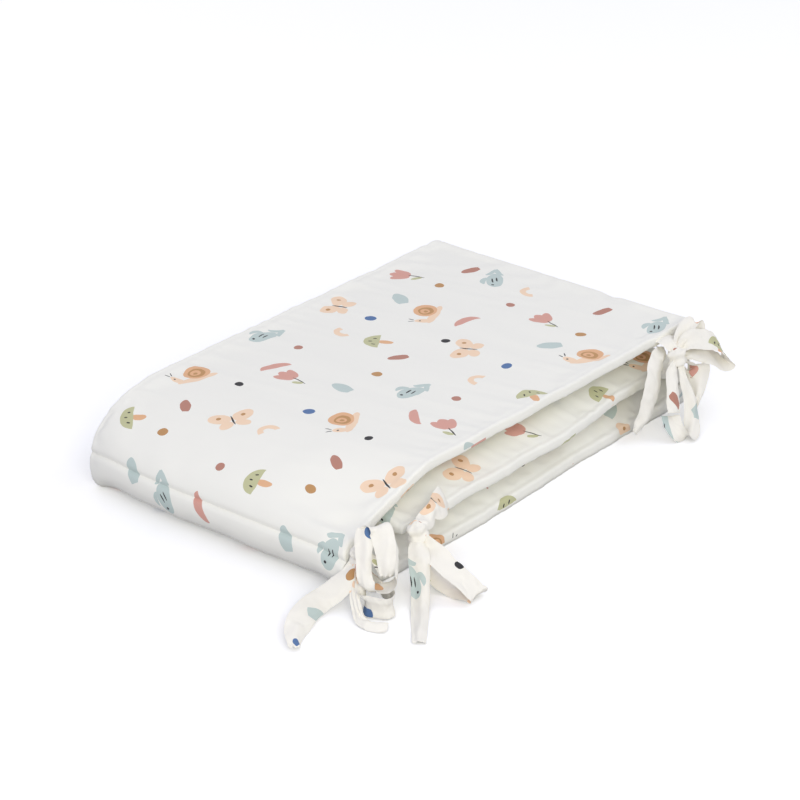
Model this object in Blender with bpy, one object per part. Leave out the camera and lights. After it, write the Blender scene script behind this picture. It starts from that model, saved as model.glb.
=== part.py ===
"""A padded crib bumper, folded in three like a letter, with its fabric ties in bows.

The long padded strip lies flat in three layers: the top layer runs from its free
end round a wide outer fold to the bottom layer, and a second fold inside the stack
carries on to the middle layer, whose free end is tucked in behind the outer fold.
The ties are sewn to one long edge only.  X runs along the folded strip, with the
outer fold at -X; the open side with the ties is at -Y; Z is up.  All in metres.
"""
import bmesh
import bpy
import numpy as np

MM = 0.001

SEAM_ROLL = 15.0 * MM           # how far in from a seam the padding reaches full height
SEAM_ROLL_POWER = 2.3           # above 2 the roll beside a seam is boxier than round
HINGE_PULL = 18.0 * MM          # how far the back end of the outer fold is drawn in
HINGE_PULL_REACH = 70.0 * MM    # and how far along the strip that reaches

# Front (-Y) and back (+Y) edge of each layer, as the strip lies a little askew.
TOP_FRONT, TOP_BACK = -192.0 * MM, 201.0 * MM
LOW_FRONT, LOW_BACK = -209.0 * MM, 190.0 * MM

MIDDLE_DROOP = 11.0 * MM        # the middle layer's edge hangs this far
MIDDLE_DROOP_REACH = 50.0 * MM
BOTTOM_DROOP = 6.5 * MM
BOTTOM_DROOP_REACH = 22.0 * MM
CORNER_SAG = 16.0 * MM          # the top layer's front corner sinks towards the outer fold
CORNER_SAG_STARTS = (-165.0 * MM, -250.0 * MM)   # along the strip, towards the fold
CORNER_SAG_ENDS = (-285.0 * MM, -320.0 * MM)
CORNER_SAG_ACROSS = (-60.0 * MM, -185.0 * MM)    # from the middle out to the front seam
CORNER_SAG_HINGE = 30.0 * MM    # it has died away this far before the hinge

# The long edges swing from the top layer's line to the lower one's on the outer fold.
EDGE_SWING = 100.0 * MM
MIDDLE_LAYER_STARTS, MIDDLE_LAYER_FULL = -20.0 * MM, 60.0 * MM   # from the inner hinge

# The two sewn long edges wander a little in and out.
SEAM_WANDER = 0.8 * MM
SEAM_WANDER_LONG = 71.0 * MM
SEAM_WANDER_SHORT, SEAM_WANDER_SHORT_SHARE = 43.0 * MM, 0.6
SEAM_WANDER_SHIFT = 1.3         # radians between the two waves
SEAM_WANDER_REACH = 30.0 * MM

# The fold, followed along the middle of the padding from the top layer's free end.
# Columns: x, z, thickness outside the line, thickness inside it (all mm).
FOLD_COLUMNS = ("x", "z", "outside", "inside")
FOLD = (
    (331.0, 83.5, 15.5, 15.5),
    (250.0, 83.0, 15.5, 15.5),
    (150.0, 82.8, 15.5, 15.5),
    (50.0, 82.8, 15.5, 15.5),
    (-50.0, 83.0, 15.5, 15.5),
    (-140.0, 83.3, 15.5, 15.0),
    (-200.0, 82.0, 15.2, 13.0),
    (-245.0, 77.5, 14.0, 11.0),
    (-280.0, 69.0, 11.8, 9.0),
    (-305.0, 59.0, 7.8, 6.0),
    (-319.0, 48.5, 3.2, 3.2),
    (-316.5, 37.0, 6.5, 6.0),
    (-307.5, 24.0, 11.5, 9.0),
    (-290.0, 17.0, 15.0, 11.0),
    (-240.0, 15.5, 15.5, 13.5),
    (-150.0, 15.5, 15.5, 14.5),
    (-50.0, 15.5, 15.5, 14.5),
    (80.0, 15.5, 15.5, 14.5),
    (200.0, 15.5, 15.5, 14.5),
    (270.0, 16.0, 15.0, 13.0),
    (300.0, 20.5, 11.0, 8.5),
    (314.0, 32.5, 3.2, 3.2),
    (302.0, 44.0, 11.0, 8.5),
    (270.0, 49.0, 14.0, 13.0),
    (200.0, 49.5, 14.5, 14.5),
    (80.0, 49.5, 14.5, 14.5),
    (-50.0, 49.5, 14.5, 14.5),
    (-150.0, 49.0, 14.5, 14.5),
    (-236.0, 47.0, 14.5, 14.5),
)
OUTER_HINGE_ROW = 10
INNER_HINGE_ROW = 21

# Where the strip is sampled: distances in from a long seam, as shares of the half width.
ACROSS = (0.0, 0.006, 0.02, 0.045, 0.08, 0.15, 0.28, 0.48, 0.74, 1.0)
LONG_STEP = 19.0 * MM           # spacing of the rows along the flat of a layer
FOLD_STEP = 7.0 * MM            # spacing of the rows round a fold
FOLD_REACH = 75.0 * MM          # the close rows reach this far each side of a hinge
END_STEPS = (0.0, 0.9, 2.8, 6.0, 11.0, 18.0)
FOLD_LINE_STEPS = 24            # fine points between two rows of the fold table

RIBBON_THICK = 2.2 * MM
RIBBON_CROWN = 0.06             # rise of a ribbon's middle, as a share of its width
RIBBON_STEPS = 3                # stations between two rows of a ribbon table
RIBBON_FLOOR_GAP = 0.3 * MM     # a ribbon that lies on the floor clears it by this

# Each tie is followed from its knot.  Columns: x, y, z of the middle of the ribbon,
# its width (mm), then where its width points: heading in plan and tilt (degrees).
RIBBON_COLUMNS = ("x", "y", "z", "width", "heading", "tilt")

# Down to the floor, then out to the left, leaning on its lower edge.
OUTER_TAIL_LONG = (
    (-315, -208, 48, 10, -110, -60),
    (-328, -209, 34, 24, -120, -40),
    (-341, -200, 19, 28, -115, -35),
    (-357, -194, 12, 28, -110, -30),
    (-382, -197, 11, 28, -110, -30),
    (-407, -206, 9, 28, -110, -25),
    (-426, -217, 7, 20, -85, -25),
    (-441, -230, 5, 13, -60, -15),
)
# Up from the knot, down at the left towards the eye, round below and back at the right.
OUTER_LOOP_HOOP = (
    (-312, -213, 58, 10, -70, 0),
    (-309, -213, 73, 14, -60, 0),
    (-311, -216, 86, 16, -55, 0),
    (-320, -223, 79, 20, -55, 0),
    (-328, -229, 61, 17, -55, 0),
    (-333, -235, 41, 16, -60, 0),
    (-331, -241, 31, 20, -95, 0),
    (-319, -248, 29, 25, -130, 0),
    (-306, -251, 34, 27, -145, 0),
    (-295, -246, 52, 28, -145, 0),
    (-290, -234, 68, 27, -140, 0),
    (-292, -221, 75, 22, -135, 0),
    (-300, -212, 65, 13, -130, 0),
    (-307, -208, 50, 7, -130, 0),
)
# A second loop, drawn flat, that hangs down in front of the first.
OUTER_LOOP_HANGING = (
    (-310, -214, 58, 10, -60, 0),
    (-307, -217, 72, 15, -55, 0),
    (-307, -222, 86, 22, -50, 0),
    (-306, -232, 89, 25, -50, 0),
    (-310, -242, 77, 24, -50, 0),
    (-314, -248, 64, 21, -50, 0),
    (-317, -251, 52, 18, -50, 0),
    (-317, -250, 44, 13, -50, 0),
    (-313, -244, 52, 19, -50, 0),
    (-310, -233, 60, 21, -50, 0),
    (-311, -223, 58, 15, -50, 0),
    (-311, -216, 53, 9, -50, 0),
)
# The loop that stands on the floor on one edge.
OUTER_LOOP_STANDING = (
    (-317, -213, 46, 8, -40, 0),
    (-325, -222, 32, 14, -35, -20),
    (-333, -231, 20, 22, -10, -60),
    (-339, -240, 15, 26, 45, -85),
    (-337, -252, 15, 26, 45, -85),
    (-330, -263, 15, 26, 35, -85),
    (-320, -264, 15, 26, 35, -85),
    (-312, -256, 15, 26, 40, -80),
    (-308, -243, 16, 26, 40, -75),
    (-307, -231, 24, 20, 30, -60),
    (-308, -214, 44, 8, 0, -40),
)
OUTER_TAIL_SHORT = (
    (-318, -212, 47, 9, -90, -10),
    (-326, -216, 34, 14, -95, 10),
    (-337, -224, 22, 13, -85, 25),
    (-346, -234, 12, 13, -70, 30),
    (-352, -244, 5, 13, -10, 20),
    (-352, -256, 2.5, 18, 20, 0),
    (-349, -266, 2.5, 20, 25, 0),
    (-344, -275, 2.5, 18, 30, 0),
)
# From its seam on the middle layer's edge to the knot.
INNER_STRAP = (
    (-162, -201.7, 60, 28, -30, -60),
    (-190, -217, 62, 27, -40, -50),
    (-204, -221, 65, 19, -65, -62),
    (-218, -224, 61, 21, -60, -35),
    (-241, -231, 62, 12, -85, -35),
)
INNER_TAIL = (
    (-244, -234, 54, 12, -50, -5),
    (-254, -243, 48, 22, -50, -10),
    (-264, -252, 38, 23, -50, 0),
    (-271, -259, 21, 21, -60, 0),
    (-283, -269, 8, 20, -65, 0),
    (-315, -294, 2.5, 18, -50, 0),
    (-348, -320, 2.5, 15, -30, 0),
)
INNER_LOOP = (
    (-240, -234, 59, 10, -125, -45),
    (-246, -246, 49, 22, -140, -40),
    (-247, -263, 42, 27, -150, -30),
    (-246, -280, 33, 28, -160, -20),
    (-243, -296, 23, 28, -170, -15),
    (-240, -305, 15, 28, -175, -10),
    (-238, -311, 9, 28, -180, -5),
    (-236, -307, 4.5, 28, -180, 0),
    (-236, -296, 3, 28, -180, 0),
    (-237, -275, 3, 26, -175, -5),
    (-240, -256, 11, 24, -165, -15),
    (-243, -243, 28, 16, -160, -25),
    (-242, -237, 47, 9, -155, -35),
)
BACK_STRAP = (
    (267, -190.3, 95.5, 28, -5, 0),
    (266, -199, 94, 27, -10, -5),
    (264, -207, 89, 19, -15, -10),
    (263, -212, 84, 11, -15, -15),
)
# The small loop that stands up above the top layer.
BACK_EAR = (
    (265, -212, 86, 9, -95, -30),
    (273, -210, 96, 15, -95, -25),
    (284, -208, 103, 19, -90, -20),
    (296, -207, 109, 20, -85, -15),
    (306, -210, 110, 16, -80, -10),
    (307, -213, 101, 16, -80, -10),
    (297, -213, 93, 16, -85, -20),
    (283, -212, 89, 13, -90, -30),
    (271, -214, 83, 8, -90, -35),
)
BACK_LOOP_WIDE = (
    (265, -214, 86, 9, -110, -45),
    (277, -219, 96, 22, -110, -45),
    (295, -226, 95, 28, -110, -45),
    (312, -233, 88, 28, -110, -40),
    (325, -239, 72, 28, -110, -30),
    (329, -241, 59, 28, -110, -20),
    (320, -238, 60, 28, -110, -35),
    (300, -229, 75, 28, -110, -40),
    (282, -219, 80, 20, -110, -40),
    (270, -214, 79, 9, -110, -40),
)
BACK_LOOP_LOW = (
    (271, -214, 77, 11, -90, -25),
    (280, -220, 71, 22, -70, -25),
    (290, -226, 61, 28, -55, -20),
    (280, -234, 43, 20, -50, -10),
    (269, -239, 32, 13, -50, 0),
    (263, -240, 24, 10, -50, 0),
    (268, -233, 26, 11, -50, 0),
    (276, -224, 43, 14, -55, 0),
    (272, -218, 59, 11, -70, 0),
    (266, -214, 69, 7, -80, 0),
)
BACK_TAIL_LEFT = (
    (255, -217, 77, 10, -15, -30),
    (245, -221, 68, 20, -10, -28),
    (235, -229, 56, 22, -10, -22),
    (229, -235, 43, 23, -10, -22),
    (224, -241, 29, 24, -10, -22),
)
BACK_TAIL_RIGHT = (
    (261, -220, 74, 10, -10, -25),
    (257, -229, 58, 15, -15, -15),
    (256, -239, 37, 17, -20, -14),
    (250, -247, 17, 20, -30, -10),
    (237, -257, 7, 19, -45, -5),
    (224, -262, 4, 17, -50, 0),
    (216, -255, 8, 20, -50, -10),
    (216, -245, 16, 25, -50, -25),
    (221, -236, 26, 27, -50, -30),
)
# From its seam under the top layer's edge, hanging to a point.
LOOSE_TAIL = (
    (257, -195.7, 83, 19, -15, -40),
    (246, -199, 80, 23, -15, -40),
    (234, -204, 75, 26, -15, -40),
    (219, -212, 63, 28, -15, -38),
    (205, -217, 47, 27, -10, -33),
    (194, -219, 30, 24, -10, -28),
    (178, -216, 13, 12, -5, -20),
)

# Knots: middle, then half sizes along X, Y and Z (mm).
KNOT_COLUMNS = ("x", "y", "z", "half_x", "half_y", "half_z")
OUTER_KNOT = (-313.0, -209.0, 52.0, 9.0, 8.0, 10.0)
INNER_KNOT = (-242.0, -232.0, 59.0, 12.0, 10.0, 13.0)
BACK_KNOT = (263.0, -214.0, 79.0, 12.0, 10.0, 12.0)
KNOT_RIDGES = 3                 # turns of ribbon that show round a knot
KNOT_RIDGE_RISE = 0.09

COTTON_WHITE = (0.86, 0.86, 0.85, 1.0)
TIE_WHITE = (0.84, 0.84, 0.81, 1.0)


def smooth_step(start, end, value):
    """0 before start, 1 after end and an even S between: t * t * (3 - 2 t)."""
    t = np.clip((value - start) / (end - start), 0.0, 1.0)
    return t * t * (3.0 - 2.0 * t)


def spline(table, steps, lead):
    """Centripetal Catmull-Rom curve through the rows of a table, every column at once.

    The knots are spaced by the square root of the distance in the first `lead`
    columns, and each row is passed through exactly.
    """
    rows = np.asarray(table, dtype=float)
    rows = np.vstack([2.0 * rows[0] - rows[1], rows, 2.0 * rows[-1] - rows[-2]])
    gap = np.sqrt(np.linalg.norm(np.diff(rows[:, :lead], axis=0), axis=1))
    knot = np.concatenate([[0.0], np.cumsum(np.maximum(gap, 1e-4))])
    pieces = []
    for k in range(1, len(rows) - 2):
        t = np.linspace(knot[k], knot[k + 1], steps, endpoint=False)[:, None]
        a, b, c, d = rows[k - 1:k + 3]
        ta, tb, tc, td = knot[k - 1:k + 3]
        ab = ((tb - t) * a + (t - ta) * b) / (tb - ta)
        bc = ((tc - t) * b + (t - tb) * c) / (tc - tb)
        cd = ((td - t) * c + (t - tc) * d) / (td - tc)
        abc = ((tc - t) * ab + (t - ta) * bc) / (tc - ta)
        bcd = ((td - t) * bc + (t - tb) * cd) / (td - tb)
        pieces.append(((tc - t) * abc + (t - tb) * bcd) / (tc - tb))
    pieces.append(rows[-2][None, :])
    return np.vstack(pieces)


def fold_line():
    """The fold as a fine curve: length along it, its columns and its unit tangent."""
    fine = spline(FOLD, FOLD_LINE_STEPS, 2) * MM
    piece = np.hypot(*np.diff(fine[:, :2], axis=0).T)
    along = np.concatenate([[0.0], np.cumsum(piece)])
    tangent = np.stack([np.gradient(fine[:, 0], along), np.gradient(fine[:, 1], along)], 1)
    tangent /= np.linalg.norm(tangent, axis=1)[:, None]
    outer_hinge = along[OUTER_HINGE_ROW * FOLD_LINE_STEPS]
    inner_hinge = along[INNER_HINGE_ROW * FOLD_LINE_STEPS]
    return along, fine, tangent, outer_hinge, inner_hinge


def row_lengths(total, outer_hinge, inner_hinge):
    """Lengths at which the strip is sampled: close at the ends and round the folds."""
    ends = np.array(END_STEPS) * MM
    rows = [ends, total - ends]
    for hinge in (outer_hinge, inner_hinge):
        count = int(round(2.0 * FOLD_REACH / FOLD_STEP))
        rows.append(hinge + np.linspace(-FOLD_REACH, FOLD_REACH, count + 1))
    stretches = (
        (ends[-1], outer_hinge - FOLD_REACH),
        (outer_hinge + FOLD_REACH, inner_hinge - FOLD_REACH),
        (inner_hinge + FOLD_REACH, total - ends[-1]),
    )
    for start, end in stretches:
        count = int(round((end - start) / LONG_STEP))
        rows.append(np.linspace(start, end, count + 1)[1:-1])
    return np.unique(np.round(np.concatenate(rows), 6))


def seam_profile(distance):
    """Share of the full thickness at a distance from a seam: a superellipse quarter."""
    q = np.clip(1.0 - distance / SEAM_ROLL, 0.0, 1.0)
    return (1.0 - q ** SEAM_ROLL_POWER) ** (1.0 / SEAM_ROLL_POWER)


def padded_strip():
    """Outer and inner face of the folded strip as two grids of points that share a rim.

    face = middle line +- normal * thickness * seam profile, then the layer edges
    droop, the back of the outer fold is drawn in and the front corner sags.
    """
    along, fine, tangent, outer_hinge, inner_hinge = fold_line()
    total = along[-1]
    s = row_lengths(total, outer_hinge, inner_hinge)
    x, z, outside, inside = (np.interp(s, along, fine[:, k]) for k in range(4))
    tx, tz = (np.interp(s, along, tangent[:, k]) for k in range(2))
    size = np.hypot(tx, tz)
    nx, nz = tz / size, -tx / size

    half = np.array(ACROSS) - 1.0
    u = np.concatenate([half, -half[-2::-1]])[None, :]

    swing = smooth_step(outer_hinge - EDGE_SWING, outer_hinge + EDGE_SWING, s)
    top = (1.0 - swing)[:, None]
    middle = smooth_step(
        inner_hinge + MIDDLE_LAYER_STARTS, inner_hinge + MIDDLE_LAYER_FULL, s)[:, None]
    bottom = (1.0 - top) * (1.0 - middle)
    front = top * TOP_FRONT + (1.0 - top) * LOW_FRONT
    back = top * TOP_BACK + (1.0 - top) * LOW_BACK
    y = (front + back) / 2.0 + (back - front) / 2.0 * u
    to_seam = (back - front) / 2.0 * (1.0 - np.abs(u))
    to_end = np.minimum(s, total - s)[:, None]
    profile = seam_profile(to_seam) * seam_profile(to_end)

    turns = 2.0 * np.pi * s
    wander = np.sin(turns / SEAM_WANDER_LONG) + SEAM_WANDER_SHORT_SHARE * np.sin(
        turns / SEAM_WANDER_SHORT + SEAM_WANDER_SHIFT)
    near_seam = 1.0 - smooth_step(0.0, SEAM_WANDER_REACH, to_seam)
    y = y + np.sign(u) * SEAM_WANDER * wander[:, None] * near_seam

    droop = middle * MIDDLE_DROOP * (1.0 - smooth_step(0.0, MIDDLE_DROOP_REACH, to_seam))
    droop = droop + bottom * BOTTOM_DROOP * (
        1.0 - smooth_step(0.0, BOTTOM_DROOP_REACH, to_seam))
    drawn = HINGE_PULL * np.clip(u, 0.0, 1.0) ** 3
    x0 = x[:, None] + drawn * np.exp(-((s - outer_hinge) / HINGE_PULL_REACH) ** 2)[:, None]
    z0 = z[:, None] - droop
    sag_side = (1.0 - smooth_step(outer_hinge - CORNER_SAG_HINGE, outer_hinge, s))[:, None]

    faces = []
    for way, thick in ((1.0, outside), (-1.0, inside)):
        reach = way * thick[:, None] * profile
        px = x0 + nx[:, None] * reach
        pz = z0 + nz[:, None] * reach
        sag = smooth_step(*CORNER_SAG_STARTS, px) * (1.0 - smooth_step(*CORNER_SAG_ENDS, px))
        pz = pz - CORNER_SAG * sag * smooth_step(*CORNER_SAG_ACROSS, y) * sag_side
        faces.append(np.stack([px, y, np.maximum(pz, 0.0)], axis=-1))
    return faces


def grid_solid(outer, inner):
    """Vertices and faces of a closed solid from two grids that meet along their rim."""
    rows, cols = outer.shape[:2]
    index_out = np.arange(rows * cols).reshape(rows, cols)
    inside = np.zeros((rows, cols), dtype=bool)
    inside[1:-1, 1:-1] = True
    index_in = index_out.copy()
    index_in[inside] = rows * cols + np.arange(int(inside.sum()))
    rim_mid = (outer + inner) / 2.0
    outer = np.where(inside[..., None], outer, rim_mid)
    points = np.vstack([outer.reshape(-1, 3), inner[inside]])

    def quads(index, flip):
        a, b = index[:-1, :-1].ravel(), index[1:, :-1].ravel()
        c, d = index[1:, 1:].ravel(), index[:-1, 1:].ravel()
        return np.stack([d, c, b, a] if flip else [a, b, c, d], axis=1)

    faces = np.vstack([quads(index_out, False), quads(index_in, True)])
    return points, faces


def ribbon_solid(table):
    """A ribbon as a closed solid: an eight-sided flat section carried along its table."""
    rows = np.asarray(table, dtype=float)
    heading, tilt = np.radians(rows[:, 4]), np.radians(rows[:, 5])
    across = rows[:, 3:4] * MM * np.stack(
        [np.cos(tilt) * np.cos(heading), np.cos(tilt) * np.sin(heading), np.sin(tilt)], 1)
    stations = spline(np.hstack([rows[:, :3] * MM, across]), RIBBON_STEPS, 3)
    centre, across = stations[:, :3], stations[:, 3:]
    tangent = np.gradient(centre, axis=0)
    tangent /= np.linalg.norm(tangent, axis=1)[:, None]
    width = np.linalg.norm(across, axis=1)[:, None]
    across = across - np.sum(across * tangent, axis=1)[:, None] * tangent
    across *= width / np.linalg.norm(across, axis=1)[:, None]
    normal = np.cross(tangent, across) / width
    ends = np.minimum(np.arange(len(centre)), np.arange(len(centre))[::-1])
    rise = RIBBON_CROWN * np.clip(ends / RIBBON_STEPS, 0.0, 1.0)[:, None]
    section = ((-0.5, 0.0), (-0.42, 0.5), (0.0, 0.5), (0.42, 0.5),
               (0.5, 0.0), (0.42, -0.5), (0.0, -0.5), (-0.42, -0.5))
    ring = []
    for share, side in section:
        crown = rise * (1.0 - (2.0 * share) ** 2) * width
        ring.append(centre + across * share + normal * (side * RIBBON_THICK + crown))
    points = np.stack(ring, axis=1)
    points[..., 2] = np.maximum(points[..., 2], RIBBON_FLOOR_GAP)
    count, sides = points.shape[:2]
    index = np.arange(count * sides).reshape(count, sides)
    turned = np.roll(index, -1, axis=1)
    walls = np.stack([index[:-1], turned[:-1], turned[1:], index[1:]], axis=-1)
    faces = walls.reshape(-1, 4).tolist()
    faces.append(index[0, ::-1].tolist())
    faces.append(index[-1].tolist())
    return points.reshape(-1, 3), faces


def knot_solid(row):
    """A knot: an ellipsoid with soft ridges where the ribbon is wound round it."""
    x, y, z, half_x, half_y, half_z = (value * MM for value in row)
    rings, sides = 9, 14
    theta = np.linspace(0.0, np.pi, rings + 1)[1:-1, None]
    phi = np.linspace(0.0, 2.0 * np.pi, sides, endpoint=False)[None, :]
    swell = 1.0 + KNOT_RIDGE_RISE * np.cos(2.0 * KNOT_RIDGES * theta + np.sin(phi))
    body = np.stack([
        x + half_x * swell * np.sin(theta) * np.cos(phi),
        y + half_y * swell * np.sin(theta) * np.sin(phi),
        z + half_z * swell * np.cos(theta) * np.ones_like(phi),
    ], axis=-1)
    poles = np.array([[x, y, z + half_z], [x, y, z - half_z]])
    index = np.arange((rings - 1) * sides).reshape(rings - 1, sides)
    turned = np.roll(index, -1, axis=1)
    walls = np.stack([index[:-1], index[1:], turned[1:], turned[:-1]], axis=-1)
    top, low = index.size, index.size + 1
    faces = walls.reshape(-1, 4).tolist()
    for k in range(sides):
        faces.append([top, int(index[0, k]), int(turned[0, k])])
        faces.append([low, int(turned[-1, k]), int(index[-1, k])])
    return np.vstack([body.reshape(-1, 3), poles]), faces


def make_mesh(name, solids):
    """One mesh from several point and face lists, each turned to face outwards."""
    mesh = bpy.data.meshes.new(name)
    points, faces, start = [], [], 0
    for solid_points, solid_faces in solids:
        points += [tuple(float(v) for v in p) for p in solid_points]
        faces += [[start + int(i) for i in face] for face in solid_faces]
        start += len(solid_points)
    mesh.from_pydata(points, [], faces)
    work = bmesh.new()
    work.from_mesh(mesh)
    bmesh.ops.recalc_face_normals(work, faces=work.faces)
    bmesh.ops.triangulate(work, faces=work.faces)
    work.to_mesh(mesh)
    work.free()
    for polygon in mesh.polygons:
        polygon.use_smooth = True
    mesh.update()
    return mesh


def make_material(name, colour, roughness):
    """Plain cotton of one colour."""
    material = bpy.data.materials.new(name)
    material.use_nodes = True
    shader = material.node_tree.nodes["Principled BSDF"]
    shader.inputs["Base Color"].default_value = colour
    shader.inputs["Roughness"].default_value = roughness
    return material


def add_object(name, mesh, material):
    """Link a finished mesh to the scene as the named part."""
    part = bpy.data.objects.new(name, mesh)
    part.data.materials.append(material)
    bpy.context.scene.collection.objects.link(part)
    return part


def largest_shell(mesh):
    """Keep the shell with the most faces: what is left over is sealed inside a knot."""
    work = bmesh.new()
    work.from_mesh(mesh)
    waiting = set(work.faces)
    shells = []
    while waiting:
        shell = set()
        edge_of_shell = [waiting.pop()]
        while edge_of_shell:
            face = edge_of_shell.pop()
            shell.add(face)
            for edge in face.edges:
                for near in edge.link_faces:
                    if near in waiting:
                        waiting.remove(near)
                        edge_of_shell.append(near)
        shells.append(shell)
    shells.sort(key=len)
    for shell in shells[:-1]:
        bmesh.ops.delete(work, geom=list(shell), context="FACES")
    work.to_mesh(mesh)
    work.free()


def tied_bow(name, knot, tables, material):
    """A bow as one solid: the knot with every loop and tail fused to it in turn."""
    bow = add_object(name, make_mesh(name, [knot_solid(knot)]), material)
    pieces = []
    for k, table in enumerate(tables):
        piece = add_object(f"{name}_piece_{k}", make_mesh(name, [ribbon_solid(table)]), material)
        fuse = bow.modifiers.new(f"fuse_{k}", "BOOLEAN")
        fuse.operation = "UNION"
        fuse.solver = "EXACT"
        fuse.object = piece
        pieces.append(piece)
    shaped = bow.evaluated_get(bpy.context.evaluated_depsgraph_get())
    mesh = bpy.data.meshes.new_from_object(shaped)
    bow.modifiers.clear()
    bow.data = mesh
    for piece in pieces:
        bpy.data.objects.remove(piece, do_unlink=True)
    largest_shell(mesh)
    for polygon in mesh.polygons:
        polygon.use_smooth = True
    return bow


def main():
    for old in list(bpy.data.objects):
        bpy.data.objects.remove(old, do_unlink=True)
    cotton = make_material("padded cotton", COTTON_WHITE, 0.85)
    outer, inner = padded_strip()
    add_object("bumper", make_mesh("bumper", [grid_solid(outer, inner)]), cotton)
    tie_cotton = make_material("tie cotton", TIE_WHITE, 0.85)
    tied_bow("tie_outer_front", OUTER_KNOT, (
        OUTER_TAIL_LONG, OUTER_LOOP_HOOP, OUTER_LOOP_HANGING,
        OUTER_LOOP_STANDING, OUTER_TAIL_SHORT), tie_cotton)
    tied_bow("tie_inner_front", INNER_KNOT, (
        INNER_STRAP, INNER_TAIL, INNER_LOOP), tie_cotton)
    tied_bow("tie_back", BACK_KNOT, (
        BACK_STRAP, BACK_EAR, BACK_LOOP_WIDE, BACK_LOOP_LOW,
        BACK_TAIL_LEFT, BACK_TAIL_RIGHT), tie_cotton)
    add_object("tie_back_loose", make_mesh("tie_back_loose", [ribbon_solid(LOOSE_TAIL)]),
               tie_cotton)


main()
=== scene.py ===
"""A padded crib bumper in printed cotton percale, folded in three, with tied ties.

The long padded strip is followed along the middle of its wadding; both faces stand off
that line by the thickness of the padding, which closes to nothing at the sewn edges and
nearly so at the two stitched channels where the strip folds.  The ties are flat cotton
ribbons that follow their own tables, pleated where a knot gathers them.
X runs along the folded strip, the ties are at -Y, Z is up, all in metres.
"""

import bmesh
import bpy
import numpy as np
from mathutils import Matrix, Vector


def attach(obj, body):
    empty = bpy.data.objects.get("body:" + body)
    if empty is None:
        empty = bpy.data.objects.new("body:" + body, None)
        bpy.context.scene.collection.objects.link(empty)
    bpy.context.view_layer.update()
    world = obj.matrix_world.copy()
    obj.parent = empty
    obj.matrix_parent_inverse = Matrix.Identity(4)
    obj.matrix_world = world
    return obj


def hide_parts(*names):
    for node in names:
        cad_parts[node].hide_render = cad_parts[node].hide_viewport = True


MM = 0.001

# ---------------------------------------------------------------------------------
# The padded strip

SEAM_ROLL = 5.5 * MM            # how far in from a long seam the edge is rounded
END_ROLL = 13.0 * MM            # and from an end
SEAM_ROLL_POWER = 2.5
EDGE_THICK = 6.5 * MM           # the padding thins to this above the seam at an edge
EDGE_THIN_REACH = 45.0 * MM
UNDER_ROLL = 75.0 * MM          # the under side of a layer recedes from its seam sooner
UNDER_ROLL_POWER = 1.2
HINGE_PULL = 18.0 * MM          # how far the back end of the outer fold is drawn in
HINGE_PULL_REACH = 70.0 * MM
HINGE_PULL_POWER = 3            # and how late across the strip that sets in

# The long seams, front and back, of the top layer and of the two lower ones.
TOP_FRONT, TOP_BACK = -190.0 * MM, 201.0 * MM
LOW_FRONT, LOW_BACK = -207.0 * MM, 190.0 * MM
HALF_WIDTH = (TOP_BACK - TOP_FRONT) / 2.0
BOTTOM_SET_BACK = 8.0 * MM      # the lower layers' front edges stand back to the right
BOTTOM_SET_BACK_ALONG = (-100.0 * MM, 140.0 * MM)
MIDDLE_SET_BACK = 15.0 * MM
MIDDLE_SET_BACK_ALONG = (50.0 * MM, 200.0 * MM)
EDGE_SWING = 100.0 * MM         # on each side of the outer fold one layer becomes the next
MIDDLE_LAYER_STARTS, MIDDLE_LAYER_FULL = -20.0 * MM, 60.0 * MM     # from the inner fold

# The lower layers hang at their long edges, and the top layer at its front corner.
MIDDLE_DROOP = 11.0 * MM
MIDDLE_DROOP_REACH = 50.0 * MM
BOTTOM_DROOP = 11.0 * MM
BOTTOM_DROOP_REACH = 45.0 * MM
CORNER_SAG = 16.0 * MM
CORNER_SAG_STARTS = (-165.0 * MM, -250.0 * MM)    # along X it comes in here
CORNER_SAG_ENDS = (-285.0 * MM, -320.0 * MM)      # and goes out here
CORNER_SAG_ACROSS = (-60.0 * MM, -185.0 * MM)
CORNER_SAG_HINGE = 30.0 * MM                      # before the fold, where it has gone

# Stitched channels: beside the stitches the padding stands up steeply.
CHANNEL_DEPTH = 2.6 * MM
CHANNEL_WIDTH = 1.9 * MM
CHANNEL_SHOULDER = 5.0 * MM
CHANNEL_SHOULDER_RISE = 8.0 * MM
CHANNEL_SHOULDER_REACH = 30.0 * MM

# The sewn edges and the cloth beside them.
SEAM_NOTCH = 0.9 * MM           # the sewn line lies this far back between the two faces
SEAM_NOTCH_REACH = 1.4 * MM
SEAM_STRAY = 0.9 * MM           # and it strays from a straight line
SEAM_STRAY_REACH = 30.0 * MM
SEAM_STRAY_WAVES = (            # share, slant across the strip, pitch and seed
    (1.0, 0.3, 75.0 * MM, 3),
    (0.5, 0.3, 31.0 * MM, 4),
    (0.4, 0.2, 14.0 * MM, 5),
)
TURN_CREASE = 0.8 * MM          # the soft crease where a face turns down into its edge
TURN_IN, TURN_REACH = 8.5 * MM, 2.4 * MM
TURN_EVEN = 0.65                # share of that crease that is there all along the seam
PUCKER, PUCKER_PITCH = 0.75 * MM, 13.0 * MM
PUCKER_IN, PUCKER_REACH = 6.0 * MM, 7.0 * MM
PUCKER_SLANT = 0.02
STRENGTH_PITCH, STRENGTH_SLANT = 90.0 * MM, 0.1      # puckers come and go along a seam
UNEVEN, UNEVEN_PITCH = 0.55 * MM, 120.0 * MM         # the padding under the open cloth
OPEN_CLOTH = (2.0 * MM, 22.0 * MM)                   # from a rim to where it is open
OUTER_SEED, INNER_SEED = 11, 23

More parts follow.
